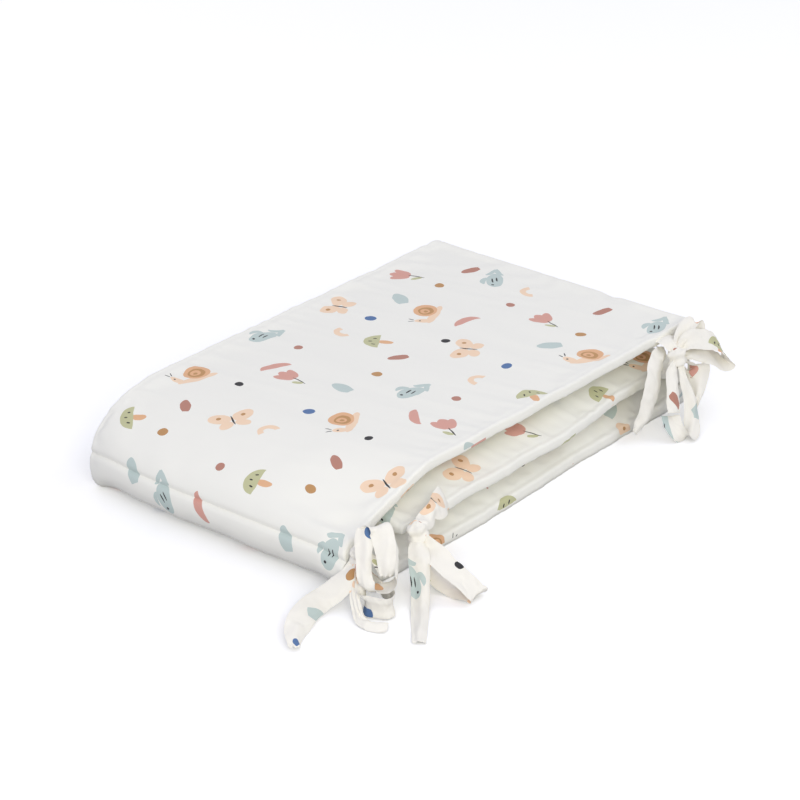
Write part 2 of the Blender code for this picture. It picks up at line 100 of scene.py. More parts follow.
# The simulation of the strip lying flat, which gives the creases beside its seams.
SIM_STEP = 6.0 * MM
SIM_FRAMES = 14
SIM_HALF = 9.0 * MM             # half its thickness
SIM_ROUGH, SIM_ROUGH_PITCH = 0.4 * MM, 26.0 * MM     # it starts a little uneven
SIM_OUTER_SEED, SIM_INNER_SEED = 31, 47
CHANNEL_DRAWN = 0.8             # share of the thickness that a channel's stitches take
CHANNEL_DRAWN_REACH = 9.0 * MM
SLACK = 0.035                   # share by which the cloth is longer than its seams
PERCALE = {
    "vertex_group_mass": "sewn",
    "quality": 6,
    "mass": 0.25,
    "air_damping": 4.0,
    "tension_stiffness": 18.0,
    "compression_stiffness": 18.0,
    "shear_stiffness": 8.0,
    "bending_stiffness": 1.2,
    "shrink_min": -SLACK,
    "use_pressure": True,
    "uniform_pressure_force": 2.5,
}
SWELL_BLUR = 4                  # cells over which the slow swell is averaged
CREASE_MOST = 2.2 * MM
CREASE_INSIDE, CREASE_REACH = 0.22, 32.0 * MM    # share left in the middle of a face

# Spacing of the mesh: along the strip, across it, and in from a seam, an end or a channel.
ALONG_STEP = 3.4 * MM
ACROSS_STEP = 8.0 * MM
SEAM_STEPS = (0.0, 0.5, 1.2, 2.1, 3.2, 4.6, 6.2, 8.0, 10.0, 12.2, 14.8, 17.8, 21.4, 25.8,
              31.2, 37.8)       # mm
END_STEPS = (0.0, 0.6, 1.6, 3.2, 5.4, 8.0, 11.0, 14.2)
CHANNEL_STEPS = (0.0, 0.5, 1.1, 1.8, 2.6, 3.6, 4.8, 6.4, 8.4)
CHANNEL_CLEAR = 1.0 * MM        # no other station lies so near a channel's last one
FOLD_STEPS = 24                 # fine stations from one row of the fold to the next
SAME_POINT, SAME_EDGE = 1e-6, 1e-7     # m; nearer points and shorter edges are joined

# The fold, followed along the middle of the padding from the top layer's free end.
# Columns: x, z, thickness outside the line, thickness inside it (all mm).
FOLD = (
    (331.0, 83.5, 15.5, 15.5),
    (250.0, 83.0, 15.5, 15.5),
    (150.0, 82.8, 15.5, 15.5),
    (50.0, 82.8, 15.5, 15.5),
    (-50.0, 83.0, 15.5, 15.5),
    (-140.0, 83.3, 15.5, 15.0),
    (-200.0, 82.0, 15.2, 13.0),
    (-245.0, 77.5, 14.0, 11.0),
    (-280.0, 69.0, 11.8, 9.0),
    (-305.0, 59.0, 7.8, 6.0),
    (-319.0, 48.5, 3.2, 3.2),
    (-316.5, 37.0, 6.5, 6.0),
    (-307.5, 24.0, 11.5, 9.0),
    (-290.0, 17.0, 15.0, 11.0),
    (-240.0, 15.5, 15.5, 13.5),
    (-150.0, 15.5, 15.5, 14.5),
    (-50.0, 15.5, 15.5, 14.5),
    (80.0, 15.5, 15.5, 14.5),
    (200.0, 15.5, 15.5, 14.5),
    (270.0, 16.0, 15.0, 13.0),
    (300.0, 20.5, 11.0, 8.5),
    (314.0, 32.5, 3.2, 3.2),
    (302.0, 44.0, 11.0, 8.5),
    (270.0, 49.0, 14.0, 13.0),
    (200.0, 49.5, 14.5, 14.5),
    (80.0, 49.5, 14.5, 14.5),
    (-50.0, 49.5, 14.5, 14.5),
    (-150.0, 49.0, 14.5, 14.5),
    (-236.0, 47.0, 14.5, 14.5),
)
OUTER_HINGE_ROW = 10
INNER_HINGE_ROW = 21

OUTER_PRINT_ROW, INNER_PRINT_ROW = 0.0, 1.37     # where on the printed cloth each face is cut

# ---------------------------------------------------------------------------------
# The ties

RIBBON_CUT = 28.0 * MM          # finished width of a tie
RIBBON_THICK = 0.8 * MM         # two layers of percale
RIBBON_EDGE_POWER = 8           # how square that thickness stays up to the hemmed edges
RIBBON_CROWN = 0.05             # rise of its middle, as a share of its width
RIBBON_CREASE, RIBBON_CREASE_PITCH = 0.9 * MM, 24.0 * MM
FINE_CREASE, FINE_CREASE_PITCH = 0.4, 9.0 * MM   # smaller creases, as a share of those
FOLD_LINE = 0.9 * MM            # rise of the sharper fold lines
FOLD_LINE_SHARP = 0.22
FOLD_LINE_PITCH, FOLD_LINE_SLANT = 30.0 * MM, 0.6
RIBBON_STEPS = 7
RIBBON_COLS = 25
END_HEM = 0.08                  # share of a step at which the station behind each end lies
RIBBON_FLOOR_GAP = 0.4 * MM
FULLY_PLEATED, PLEATS_GONE = 10.0 * MM, 19.0 * MM    # widths of the gathered ribbon
PLEATS = 2.5                    # waves across a ribbon where a knot gathers it
BROAD_FOLDS = 1.0               # and the broad folds where it only narrows
BROAD_FOLD_SHARE = 0.55
PLEAT_MOST = 1.6
PLEAT_SHARE = 0.75
PLEAT_STRAY, PLEAT_STRAY_PITCH = 0.8, 60.0 * MM  # the pleats wander, in radians
PRINT_ALONG, PRINT_ACROSS = 0.11, 0.071          # from one ribbon's cut to the next, in m
KNOT_RINGS, KNOT_SIDES = 33, 49
KNOT_POWER = 2.7                # how boxy a knot is; 2 is an ellipsoid
KNOT_TURNS = 3
KNOT_SLANT = 1.3
KNOT_RIDGE, KNOT_WRINKLE = 0.15, 0.12
KNOT_WRINKLE_PITCH, KNOT_WRINKLE_SLANT = 0.9, 0.6

# Each ribbon is followed from its knot, or from where it is sewn on.  Columns: x, y, z of
# its middle, its width (mm), then where its width points: heading in plan and tilt
# (degrees).

# Where two ties are caught in the top layer's cloth, one row before their tables.
LOOSE_SEAM = (263, -190, 85, 16, -15, -40)
STRAP_SEAM = (268, -183, 92, 28, -5, 0)

# Down to the floor, then out to the left, leaning on its lower edge.
OUTER_TAIL_LONG = (
    (-315, -208, 48, 10, -110, -60),
    (-328, -209, 34, 24, -120, -40),
    (-341, -200, 19, 28, -115, -35),
    (-357, -194, 12, 28, -110, -30),
    (-382, -197, 11, 28, -110, -30),
    (-407, -206, 9, 28, -110, -25),
    (-426, -217, 7, 20, -85, -25),
    (-441, -230, 5, 13, -60, -15),
)
# Up from the knot, down at the left towards the eye, round below and back at the right.
OUTER_LOOP_HOOP = (
    (-312, -213, 58, 10, -70, 0),
    (-309, -213, 73, 14, -60, 0),
    (-311, -216, 86, 16, -55, 0),
    (-320, -223, 79, 20, -55, 0),
    (-328, -229, 61, 17, -55, 0),
    (-333, -235, 41, 16, -60, 0),
    (-331, -241, 31, 20, -95, 0),
    (-319, -248, 29, 25, -130, 0),
    (-306, -251, 34, 27, -145, 0),
    (-295, -246, 52, 28, -145, 0),
    (-290, -234, 68, 27, -140, 0),
    (-292, -221, 75, 22, -135, 0),
    (-300, -212, 65, 13, -130, 0),
    (-307, -208, 50, 7, -130, 0),
)
# A second loop, drawn flat, that hangs down in front of the first.
OUTER_LOOP_HANGING = (
    (-310, -214, 58, 10, -60, 0),
    (-307, -217, 72, 15, -55, 0),
    (-307, -222, 86, 22, -50, 0),
    (-306, -232, 89, 25, -50, 0),
    (-310, -242, 77, 24, -50, 0),
    (-314, -248, 64, 21, -50, 0),
    (-317, -251, 52, 18, -50, 0),
    (-317, -250, 44, 13, -50, 0),
    (-313, -244, 52, 19, -50, 0),
    (-310, -233, 60, 21, -50, 0),
    (-311, -223, 58, 15, -50, 0),
    (-311, -216, 53, 9, -50, 0),
)
# The loop that stands on the floor on one edge.
OUTER_LOOP_STANDING = (
    (-317, -213, 46, 8, -40, 0),
    (-325, -222, 32, 14, -35, -20),
    (-333, -231, 20, 22, -10, -60),
    (-339, -240, 15, 26, 45, -85),
    (-337, -252, 15, 26, 45, -85),
    (-330, -263, 15, 26, 35, -85),
    (-320, -264, 15, 26, 35, -85),
    (-312, -256, 15, 26, 40, -80),
    (-308, -243, 16, 26, 40, -75),
    (-307, -231, 24, 20, 30, -60),
    (-308, -214, 44, 8, 0, -40),
)
# The short end, down to the floor in front.
OUTER_TAIL_SHORT = (
    (-318, -212, 47, 9, -90, -10),
    (-326, -216, 34, 14, -95, 10),
    (-337, -224, 22, 13, -85, 25),
    (-346, -234, 12, 13, -70, 30),
    (-352, -244, 5, 13, -10, 20),
    (-352, -256, 2.5, 18, 20, 0),
    (-349, -266, 2.5, 20, 25, 0),
    (-344, -275, 2.5, 18, 30, 0),
)
# From its seam on the middle layer's edge to the knot.
INNER_STRAP = (
    (-162, -201.7, 60, 28, -30, -60),
    (-190, -217, 62, 27, -40, -50),
    (-204, -221, 65, 19, -65, -62),
    (-218, -224, 61, 21, -60, -35),
    (-241, -231, 62, 12, -85, -35),
)
# The free end, out over the floor to the front.
INNER_TAIL = (
    (-244, -234, 54, 12, -50, -5),
    (-254, -243, 48, 22, -50, -10),
    (-264, -252, 38, 23, -50, 0),
    (-271, -259, 21, 21, -60, 0),
    (-283, -269, 8, 20, -65, 0),
    (-315, -294, 2.5, 18, -50, 0),
    (-348, -320, 2.5, 15, -30, 0),
)
# The loop that lies on the floor and comes back under itself.
INNER_LOOP = (
    (-240, -234, 59, 10, -125, -45),
    (-246, -246, 49, 22, -140, -40),
    (-247, -263, 42, 27, -150, -30),
    (-246, -280, 33, 28, -160, -20),
    (-243, -296, 23, 28, -170, -15),
    (-240, -305, 15, 28, -175, -10),
    (-238, -311, 9, 28, -180, -5),
    (-236, -307, 4.5, 28, -180, 0),
    (-236, -296, 3, 28, -180, 0),
    (-237, -275, 3, 26, -175, -5),
    (-240, -256, 11, 24, -165, -15),
    (-243, -243, 28, 16, -160, -25),
    (-242, -237, 47, 9, -155, -35),
)
# From the top layer's edge down to the knot.
BACK_STRAP = (
    (267, -190.3, 95.5, 28, -5, 0),
    (266, -199, 94, 27, -10, -5),
    (264, -207, 89, 19, -15, -10),
    (263, -212, 84, 11, -15, -15),
)
# The small loop that stands up above the top layer.
BACK_EAR = (
    (265, -212, 86, 9, -95, -30),
    (273, -210, 96, 15, -95, -25),
    (284, -208, 103, 19, -90, -20),
    (296, -207, 109, 20, -85, -15),
    (306, -210, 110, 16, -80, -10),
    (307, -213, 101, 16, -80, -10),
    (297, -213, 93, 16, -85, -20),
    (283, -212, 89, 13, -90, -30),
    (271, -214, 83, 8, -90, -35),
)
# The wide loop that stands out to the right.
BACK_LOOP_WIDE = (
    (265, -214, 86, 9, -110, -45),
    (277, -219, 96, 22, -110, -45),
    (295, -226, 95, 28, -110, -45),
    (312, -233, 88, 28, -110, -40),
    (325, -239, 72, 28, -110, -30),
    (329, -241, 59, 28, -110, -20),
    (320, -238, 60, 28, -110, -35),
    (300, -229, 75, 28, -110, -40),
    (282, -219, 80, 20, -110, -40),
    (270, -214, 79, 9, -110, -40),
)
# The loop that hangs beside the knot.
BACK_LOOP_LOW = (
    (271, -214, 77, 11, -90, -25),
    (280, -220, 71, 22, -70, -25),
    (290, -226, 61, 28, -55, -20),
    (280, -234, 43, 20, -50, -10),
    (269, -239, 32, 13, -50, 0),
    (263, -240, 24, 10, -50, 0),
    (268, -233, 26, 11, -50, 0),
    (276, -224, 43, 14, -55, 0),
    (272, -218, 59, 11, -70, 0),
    (266, -214, 69, 7, -80, 0),
)
# The end that hangs straight down.
BACK_TAIL_LEFT = (
    (255, -217, 77, 10, -15, -30),
    (245, -221, 68, 20, -10, -28),
    (235, -229, 56, 22, -10, -22),
    (229, -235, 43, 23, -10, -22),
    (224, -241, 29, 24, -10, -22),
)
# The end that reaches the floor and folds back up.
BACK_TAIL_RIGHT = (
    (261, -220, 74, 10, -10, -25),
    (257, -229, 58, 15, -15, -15),
    (256, -239, 37, 17, -20, -14),
    (250, -247, 17, 20, -30, -10),
    (237, -257, 7, 19, -45, -5),
    (224, -262, 4, 17, -50, 0),
    (216, -255, 8, 20, -50, -10),
    (216, -245, 16, 25, -50, -25),
    (221, -236, 26, 27, -50, -30),
)
# From its seam under the top layer's edge, hanging to a point.
LOOSE_TAIL = (
    (257, -195.7, 83, 19, -15, -40),
    (246, -199, 80, 23, -15, -40),
    (234, -204, 75, 26, -15, -40),
    (219, -212, 63, 28, -15, -38),
    (205, -217, 47, 27, -10, -33),
    (194, -219, 30, 24, -10, -28),
    (178, -216, 13, 12, -5, -20),
)

# Knots: middle, then half sizes along X, Y and Z (mm).
OUTER_KNOT = (-313.0, -209.0, 52.0, 9.0, 8.0, 10.0)
INNER_KNOT = (-242.0, -232.0, 59.0, 12.0, 10.0, 13.0)
BACK_KNOT = (263.0, -214.0, 79.0, 12.0, 10.0, 12.0)

# ---------------------------------------------------------------------------------
# Curves, waves and meshes

def smooth_step(start, end, value):
    """0 before start, 1 after end and an even S between: t * t * (3 - 2 t)."""
    t = np.clip((value - start) / (end - start), 0.0, 1.0)
    return t * t * (3.0 - 2.0 * t)


def fading(value, reach):
    """1 at 0, then an even S down to 0 at reach."""
    return 1.0 - smooth_step(0.0, reach, value)


def bell(value, reach):
    """1 at 0, falling off evenly on both sides: exp(-(value / reach) squared)."""
    return np.exp(-(value / reach) ** 2)


def drift(x, y, size, seed):
    """Soft uneven waves, about -1 to 1: five sines of unlike directions, added up."""
    rng = np.random.default_rng(seed)
    total = np.zeros(np.broadcast(x, y).shape)
    for _ in range(5):
        angle, phase = rng.uniform(0.0, 2.0 * np.pi, 2)
        pitch = size * rng.uniform(0.7, 1.5)
        total += np.sin(
            2.0 * np.pi * (x * np.cos(angle) + y * np.sin(angle)) / pitch + phase)
    return total / 3.0


def walked(points):
    """Length walked from the first point to each one of a line."""
    gaps = np.linalg.norm(np.diff(points, axis=0), axis=1)
    return np.concatenate([[0.0], np.cumsum(gaps)])


def spline(table, steps, lead):
    """A smooth curve through the rows of a table, every column at once.

    Lines through neighbouring rows are blended twice.  The knots are spaced by the square
    root of the distance in the first `lead` columns, and each row is passed through
    exactly.
    """
    rows = np.asarray(table, dtype=float)
    rows = np.vstack([2.0 * rows[0] - rows[1], rows, 2.0 * rows[-1] - rows[-2]])
    gap = np.sqrt(np.linalg.norm(np.diff(rows[:, :lead], axis=0), axis=1))
    knot = np.concatenate([[0.0], np.cumsum(np.maximum(gap, 1e-4))])
    pieces = []
    for k in range(1, len(rows) - 2):
        t = np.linspace(knot[k], knot[k + 1], steps, endpoint=False)[:, None]
        a, b, c, d = rows[k - 1:k + 3]
        ta, tb, tc, td = knot[k - 1:k + 3]
        ab = ((tb - t) * a + (t - ta) * b) / (tb - ta)
        bc = ((tc - t) * b + (t - tb) * c) / (tc - tb)
        cd = ((td - t) * c + (t - tc) * d) / (td - tc)
        abc = ((tc - t) * ab + (t - ta) * bc) / (tc - ta)
        bcd = ((td - t) * bc + (t - tb) * cd) / (td - tb)
        pieces.append(((tc - t) * abc + (t - tb) * bcd) / (tc - tb))
    pieces.append(rows[-2][None, :])
    return np.vstack(pieces)


def steps_between(start, end, spacing):
    """Evenly spaced values from start to end, about `spacing` apart."""
    return np.linspace(start, end, int(round((end - start) / spacing)) + 1)


def thickness_profile(distance, roll, power):
    """Share of the full thickness at a distance from a seam: a superellipse quarter."""
    q = np.clip(1.0 - distance / roll, 0.0, 1.0)
    return (1.0 - q ** power) ** (1.0 / power)


def blurred(grid, reach):
    """A grid averaged over its neighbours, as by a bell of `reach` cells, mirrored at rims."""
    offsets = np.arange(-3 * reach, 3 * reach + 1)
    weights = bell(offsets, 1.4 * reach)
    weights = weights / weights.sum()
    for axis in (0, 1):
        padding = [(0, 0), (0, 0)]
        padding[axis] = (3 * reach, 3 * reach)
        wide = np.pad(grid, padding, mode="reflect")
        count = grid.shape[axis]
        grid = sum(weight * np.take(wide, np.arange(k, k + count), axis=axis)
                   for k, weight in enumerate(weights))
    return grid


def read_off(grid, start, step, along, across):
    """Reads an even grid between its points: the four around each place, by nearness."""
    places = [np.clip((value - first) / step, 0.0, size - 1.001)
              for value, first, size in zip((along, across), start, grid.shape)]
    (i, fi), (j, fj) = [(np.floor(p).astype(int), p - np.floor(p)) for p in places]
    i, fi = i[:, None], fi[:, None]
    j, fj = j[None, :], fj[None, :]
    low = grid[i, j] * (1.0 - fj) + grid[i, j + 1] * fj
    high = grid[i + 1, j] * (1.0 - fj) + grid[i + 1, j + 1] * fj
    return low * (1.0 - fi) + high * fi


def stacked(*grids):
    """Grids of single values as one grid of points."""
    return np.stack(np.broadcast_arrays(*grids), axis=-1)


def numbered(rows, cols, start=0):
    """The numbers of a grid's points, counted row by row from start."""
    return start + np.arange(rows * cols).reshape(rows, cols)


def grid_quads(index, flip):
    """The four corners of every square of a grid, from the numbers of its points."""
    a, b, c, d = index[:-1, :-1], index[1:, :-1], index[1:, 1:], index[:-1, 1:]
    corners = (d, c, b, a) if flip else (a, b, c, d)
    return np.stack([corner.ravel() for corner in corners], axis=1)


def put(name, data):
    """An object with this mesh, light or lens, put into the scene."""
    thing = bpy.data.objects.new(name, data)
    bpy.context.scene.collection.objects.link(thing)
    return thing


def closed_up(mesh):
    """Joins the points that lie on one another, as along a sewn rim, and turns faces out."""
    work = bmesh.new()
    work.from_mesh(mesh)
    bmesh.ops.remove_doubles(work, verts=work.verts, dist=SAME_POINT)
    bmesh.ops.dissolve_degenerate(work, edges=work.edges, dist=SAME_EDGE)
    bmesh.ops.recalc_face_normals(work, faces=work.faces)
    work.to_mesh(mesh)
    work.free()


def mesh_from(name, points, quads, flat, material):
    """One smooth mesh from points, squares and the flat coordinates of each point."""
    mesh = bpy.data.meshes.new(name)
    mesh.vertices.add(len(points))
    mesh.vertices.foreach_set("co", points.astype(np.float32).ravel())
    mesh.loops.add(quads.size)
    mesh.loops.foreach_set("vertex_index", quads.astype(np.int32).ravel())
    mesh.polygons.add(len(quads))
    starts = np.arange(0, quads.size, 4, dtype=np.int32)
    mesh.polygons.foreach_set("loop_start", starts)
    mesh.polygons.foreach_set("use_smooth", np.ones(len(quads), dtype=bool))
    mesh.update(calc_edges=True)
    cloth = mesh.uv_layers.new(name="cloth")
    cloth.data.foreach_set("uv", flat[quads.ravel()].astype(np.float32).ravel())
    closed_up(mesh)
    mesh.materials.append(material)
    return put(name, mesh)


# ---------------------------------------------------------------------------------
# The padded strip's cloth

def settled_cloth(points, quads, sewn):
    """Where the points of a closed cloth come to rest when its padding presses it out.

    The sewn points are held.  A point that no square uses keeps its place.
    """
    used, corners = np.unique(quads, return_inverse=True)
    mesh = bpy.data.meshes.new("flat strip")
    mesh.from_pydata(points[used].tolist(), [], corners.reshape(-1, 4).tolist())
    flat = put("flat strip", mesh)
    held = flat.vertex_groups.new(name="sewn")
    held.add(np.flatnonzero(sewn[used]).tolist(), 1.0, "REPLACE")

    cloth = flat.modifiers.new("cloth", "CLOTH")
    for name, value in PERCALE.items():
        setattr(cloth.settings, name, value)
    cloth.settings.effector_weights.gravity = 0.0
    cloth.collision_settings.use_collision = False
    cloth.point_cache.frame_end = SIM_FRAMES
    for moment in range(1, SIM_FRAMES + 1):
        bpy.context.scene.frame_set(moment)
    settled = flat.evaluated_get(bpy.context.evaluated_depsgraph_get()).data
    moved = np.empty(len(used) * 3)
    settled.vertices.foreach_get("co", moved)
    bpy.context.scene.frame_set(1)
    bpy.data.objects.remove(flat)

    place = points.copy()
    place[used] = moved.reshape(-1, 3)
    return place


def sewn_wrinkles(total, hinges):
    """The creases that the sewing draws into the two faces, from a cloth simulation.

    The strip lies flat, its rim and its stitched channels held where they are.  The cloth
    is SLACK longer than its seams and the padding presses it out, so it gathers beside
    them.  The slow swell is taken off, which the padding's own profile gives already:
    crease = height - height blurred, no more than CREASE_MOST.
    Returns both grids, where they start and how far apart their points are.
    """
    rows = int(round(total / SIM_STEP)) + 1
    cols = int(round(2.0 * HALF_WIDTH / SIM_STEP)) + 1
    start, step = (0.0, -HALF_WIDTH), total / (rows - 1)
    s = np.linspace(0.0, total, rows)[:, None]
    y = np.linspace(-HALF_WIDTH, HALF_WIDTH, cols)[None, :]
    to_rim = np.minimum(np.minimum(s, total - s), HALF_WIDTH - np.abs(y))
    at_rim = to_rim < SIM_STEP / 2.0
    height = SIM_HALF * thickness_profile(to_rim, END_ROLL, SEAM_ROLL_POWER)
    stitched = at_rim
    for hinge in hinges:
        height = height * (1.0 - CHANNEL_DRAWN * bell(s - hinge, CHANNEL_DRAWN_REACH))
        stitched = stitched | (np.abs(s - hinge) < SIM_STEP / 2.0)
    upper = numbered(rows, cols)
    lower = np.where(at_rim, upper, upper + rows * cols)
    faces = []
    for way, seed in ((1.0, SIM_OUTER_SEED), (-1.0, SIM_INNER_SEED)):
        rough = SIM_ROUGH * drift(s, y, SIM_ROUGH_PITCH, seed) * ~at_rim
        faces.append(stacked(s, y, way * (height + rough)).reshape(-1, 3))
    place = settled_cloth(
        np.vstack(faces), np.vstack([grid_quads(upper, True), grid_quads(lower, False)]),
        np.tile(stitched.ravel(), 2))
    creases = []
    for way, index in ((1.0, upper), (-1.0, lower)):
        swell = way * place[index, 2] - height
        creases.append(np.clip(swell - blurred(swell, SWELL_BLUR), -CREASE_MOST, CREASE_MOST))
    return creases, start, step


def folded_line():
    """The fold's middle line in fine steps: length walked, columns, slope and both hinges.

    slope = how x and z change with the length walked.
    """
    line = spline(FOLD, FOLD_STEPS, 2) * MM
    along = np.concatenate([[0.0], np.cumsum(np.hypot(*np.diff(line[:, :2], axis=0).T))])
    slope = np.stack([np.gradient(line[:, 0], along), np.gradient(line[:, 1], along)], 1)
    hinges = [along[row * FOLD_STEPS] for row in (OUTER_HINGE_ROW, INNER_HINGE_ROW)]
    return along, line, slope, hinges


def stations_along(total, hinges):
    """Where the strip's grid has its rows: even, but closer at the ends and the channels."""
    ends = np.array(END_STEPS) * MM
    beside = np.array(CHANNEL_STEPS) * MM
    s = steps_between(ends[-1], total - ends[-1], ALONG_STEP)
    for hinge in hinges:
        s = s[np.abs(s - hinge) > beside[-1] + CHANNEL_CLEAR]
        s = np.concatenate([s, hinge - beside, hinge + beside])
    return np.unique(np.round(np.concatenate([ends, s, total - ends]), 7))


def shares_across():
    """Where the grid has its columns: from -1 at the front seam to 1 at the back one."""
    seam_steps = np.array(SEAM_STEPS) * MM
    inner_steps = steps_between(seam_steps[-1], HALF_WIDTH, ACROSS_STEP)[1:]
    share = np.concatenate([seam_steps, inner_steps]) / HALF_WIDTH - 1.0
    return np.concatenate([share, -share[-2::-1]])


def layer_shares(s, outer_hinge, inner_hinge):
    """How far each row belongs to the top, the middle and the bottom layer, 0 to 1."""
    top = 1.0 - smooth_step(outer_hinge - EDGE_SWING, outer_hinge + EDGE_SWING, s)
    middle = smooth_step(
        inner_hinge + MIDDLE_LAYER_STARTS, inner_hinge + MIDDLE_LAYER_FULL, s)
    return top, middle, (1.0 - top) * (1.0 - middle)


def sewn_edges(s, u, x, top, middle, bottom):
    """y of every point of the strip, and its distance from the nearer long seam.

    y = between the layer's front and back line, by its share across
        + the seam's straying, near the seam - the notch of the sewn line.
    """
    bottom_front = LOW_FRONT + BOTTOM_SET_BACK * smooth_step(*BOTTOM_SET_BACK_ALONG, x)
    middle_front = LOW_FRONT + MIDDLE_SET_BACK * smooth_step(*MIDDLE_SET_BACK_ALONG, x)
    front = top * TOP_FRONT + bottom * bottom_front + middle * middle_front
    back = top * TOP_BACK + (1.0 - top) * LOW_BACK
    y = (front + back) / 2.0 + (back - front) / 2.0 * u
    to_seam = (back - front) / 2.0 * (1.0 - np.abs(u))
    near = fading(to_seam, SEAM_STRAY_REACH)
    stray = sum(share * drift(s, slant * u, pitch, seed)
                for share, slant, pitch, seed in SEAM_STRAY_WAVES)
    y = y + np.sign(u) * SEAM_STRAY * stray * near
    return y - np.sign(u) * SEAM_NOTCH * bell(to_seam, SEAM_NOTCH_REACH), to_seam


def channel_rise(s, hinges):
    """Shoulders that stand up beside the stitched channels, less the channels' own depth."""
    rise = np.zeros_like(s)
    for hinge in hinges:
        away = np.abs(s - hinge)
        shoulder = 1.0 - np.exp(-away / CHANNEL_SHOULDER_RISE)
        rise = rise + CHANNEL_SHOULDER * shoulder * bell(away, CHANNEL_SHOULDER_REACH)
        rise = rise - CHANNEL_DEPTH * bell(away, CHANNEL_WIDTH)
    return rise


def face_relief(s, u, to_seam, to_rim, seed):
    """What makes one face uneven: soft padding, puckers by the seam, and the turning crease.

    Each is a rise times a drift or a bell; a slow drift lets the puckers come and go.
    """
    uneven = UNEVEN * drift(s, HALF_WIDTH * u, UNEVEN_PITCH, seed)
    uneven = uneven * smooth_step(*OPEN_CLOTH, to_rim)
    strength = 0.5 + 0.5 * drift(s, STRENGTH_SLANT * u, STRENGTH_PITCH, seed + 1)
    pucker = PUCKER * strength * drift(s, PUCKER_SLANT * (HALF_WIDTH * u), PUCKER_PITCH, seed + 2)
    pucker = pucker * bell(to_seam - PUCKER_IN, PUCKER_REACH)
    turn = TURN_CREASE * (TURN_EVEN + (1.0 - TURN_EVEN) * strength)
    return uneven, pucker, turn * bell(to_seam - TURN_IN, TURN_REACH)


def strip_faces():
    """Both faces of the padded strip, as grids of points that meet at the sewn rim.

    face = middle line +- normal * ((half thickness + shoulders beside the stitched
    channels - the channel itself) * edge profile + soft unevenness + puckers along the
    seams + the sewn creases - the crease where a face turns down).
    The layers' edges droop, the back of the outer fold is drawn in, and the top layer's
    front corner sags.
    """
    along, line, slope, hinges = folded_line()
    outer_hinge, inner_hinge = hinges
    total = along[-1]
    stations, shares = stations_along(total, hinges), shares_across()
    x, z, outside, inside = (
        np.interp(stations, along, line[:, k])[:, None] for k in range(4))
    tx, tz = (np.interp(stations, along, slope[:, k])[:, None] for k in range(2))
    size = np.hypot(tx, tz)
    nx, nz = tz / size, -tx / size
    s, u = stations[:, None], shares[None, :]
    top, middle, bottom = layer_shares(s, outer_hinge, inner_hinge)
    y, to_seam = sewn_edges(s, u, x, top, middle, bottom)
    to_end = np.minimum(s, total - s)
    to_rim = np.minimum(to_seam, to_end)

    droop = middle * MIDDLE_DROOP * fading(to_seam, MIDDLE_DROOP_REACH)
    droop = droop + bottom * BOTTOM_DROOP * fading(to_seam, BOTTOM_DROOP_REACH)
    drawn = HINGE_PULL * np.clip(u, 0.0, 1.0) ** HINGE_PULL_POWER
    thin = fading(to_seam, EDGE_THIN_REACH)
    lift = np.maximum(outside - EDGE_THICK, 0.0) * thin * (top + middle)
    middle_x = x + drawn * bell(s - outer_hinge, HINGE_PULL_REACH) + nx * lift
    middle_z = z - droop + nz * lift
    sag_side = 1.0 - smooth_step(outer_hinge - CORNER_SAG_HINGE, outer_hinge, s)
    rise = channel_rise(s, hinges)

    creases, sim_start, sim_step = sewn_wrinkles(total, hinges)
    faces = []
    for way, thick, seed, crease in (
            (1.0, outside, OUTER_SEED, creases[0]), (-1.0, inside, INNER_SEED, creases[1])):
        upper = (top + middle) if way > 0.0 else bottom
        under = (top + middle) * (way < 0.0)
        roll = SEAM_ROLL + (UNDER_ROLL - SEAM_ROLL) * under
        power = SEAM_ROLL_POWER + (UNDER_ROLL_POWER - SEAM_ROLL_POWER) * under
        full = thick + lift * (way < 0.0)
        full = full - np.maximum(thick - EDGE_THICK, 0.0) * thin * upper
        profile = thickness_profile(to_seam, roll, power)
        profile = profile * thickness_profile(to_end, END_ROLL, SEAM_ROLL_POWER)
        uneven, pucker, turn = face_relief(s, u, to_seam, to_rim, seed)
        sewn = read_off(crease, sim_start, sim_step, stations, HALF_WIDTH * shares)
        sewn = sewn * (CREASE_INSIDE + (1.0 - CREASE_INSIDE) * bell(to_rim, CREASE_REACH))
        reach = way * ((full + rise) * profile + uneven + pucker + sewn - turn * upper)
        px, pz = middle_x + nx * reach, middle_z + nz * reach
        sag = smooth_step(*CORNER_SAG_STARTS, px) * (1.0 - smooth_step(*CORNER_SAG_ENDS, px))
        pz = pz - CORNER_SAG * sag * smooth_step(*CORNER_SAG_ACROSS, y) * sag_side
        faces.append(stacked(px, y, np.maximum(pz, 0.0)))
    rim = (faces[0] + faces[1]) / 2.0
    at_rim = np.ones(y.shape, dtype=bool)
    at_rim[1:-1, 1:-1] = False
    return [np.where(at_rim[..., None], rim, face) for face in faces]


def laid_out(points, first_row):
    """Flat coordinates of a grid of cloth: lengths walked along it and across it."""
    middle = points.shape[1] // 2
    across = np.linalg.norm(np.diff(points, axis=1), axis=2)
    across = np.concatenate([np.zeros((len(points), 1)), np.cumsum(across, axis=1)], axis=1)
    across = across - across[:, middle:middle + 1] + first_row
    return stacked(walked(points[:, middle])[:, None], across)


def padded_bumper(material):
    """The strip as one closed skin: outer and inner face joined along the sewn rim."""
    outer, inner = strip_faces()
    rows, cols = outer.shape[:2]
    flat = np.vstack([
        laid_out(outer, OUTER_PRINT_ROW).reshape(-1, 2),
        laid_out(inner, INNER_PRINT_ROW).reshape(-1, 2)])
    quads = np.vstack([
        grid_quads(numbered(rows, cols), False),
        grid_quads(numbered(rows, cols, rows * cols), True)])
    points = np.vstack([outer.reshape(-1, 3), inner.reshape(-1, 3)])
    return mesh_from("padded_bumper", points, quads, flat, material)


# ---------------------------------------------------------------------------------
# The ties' cloth

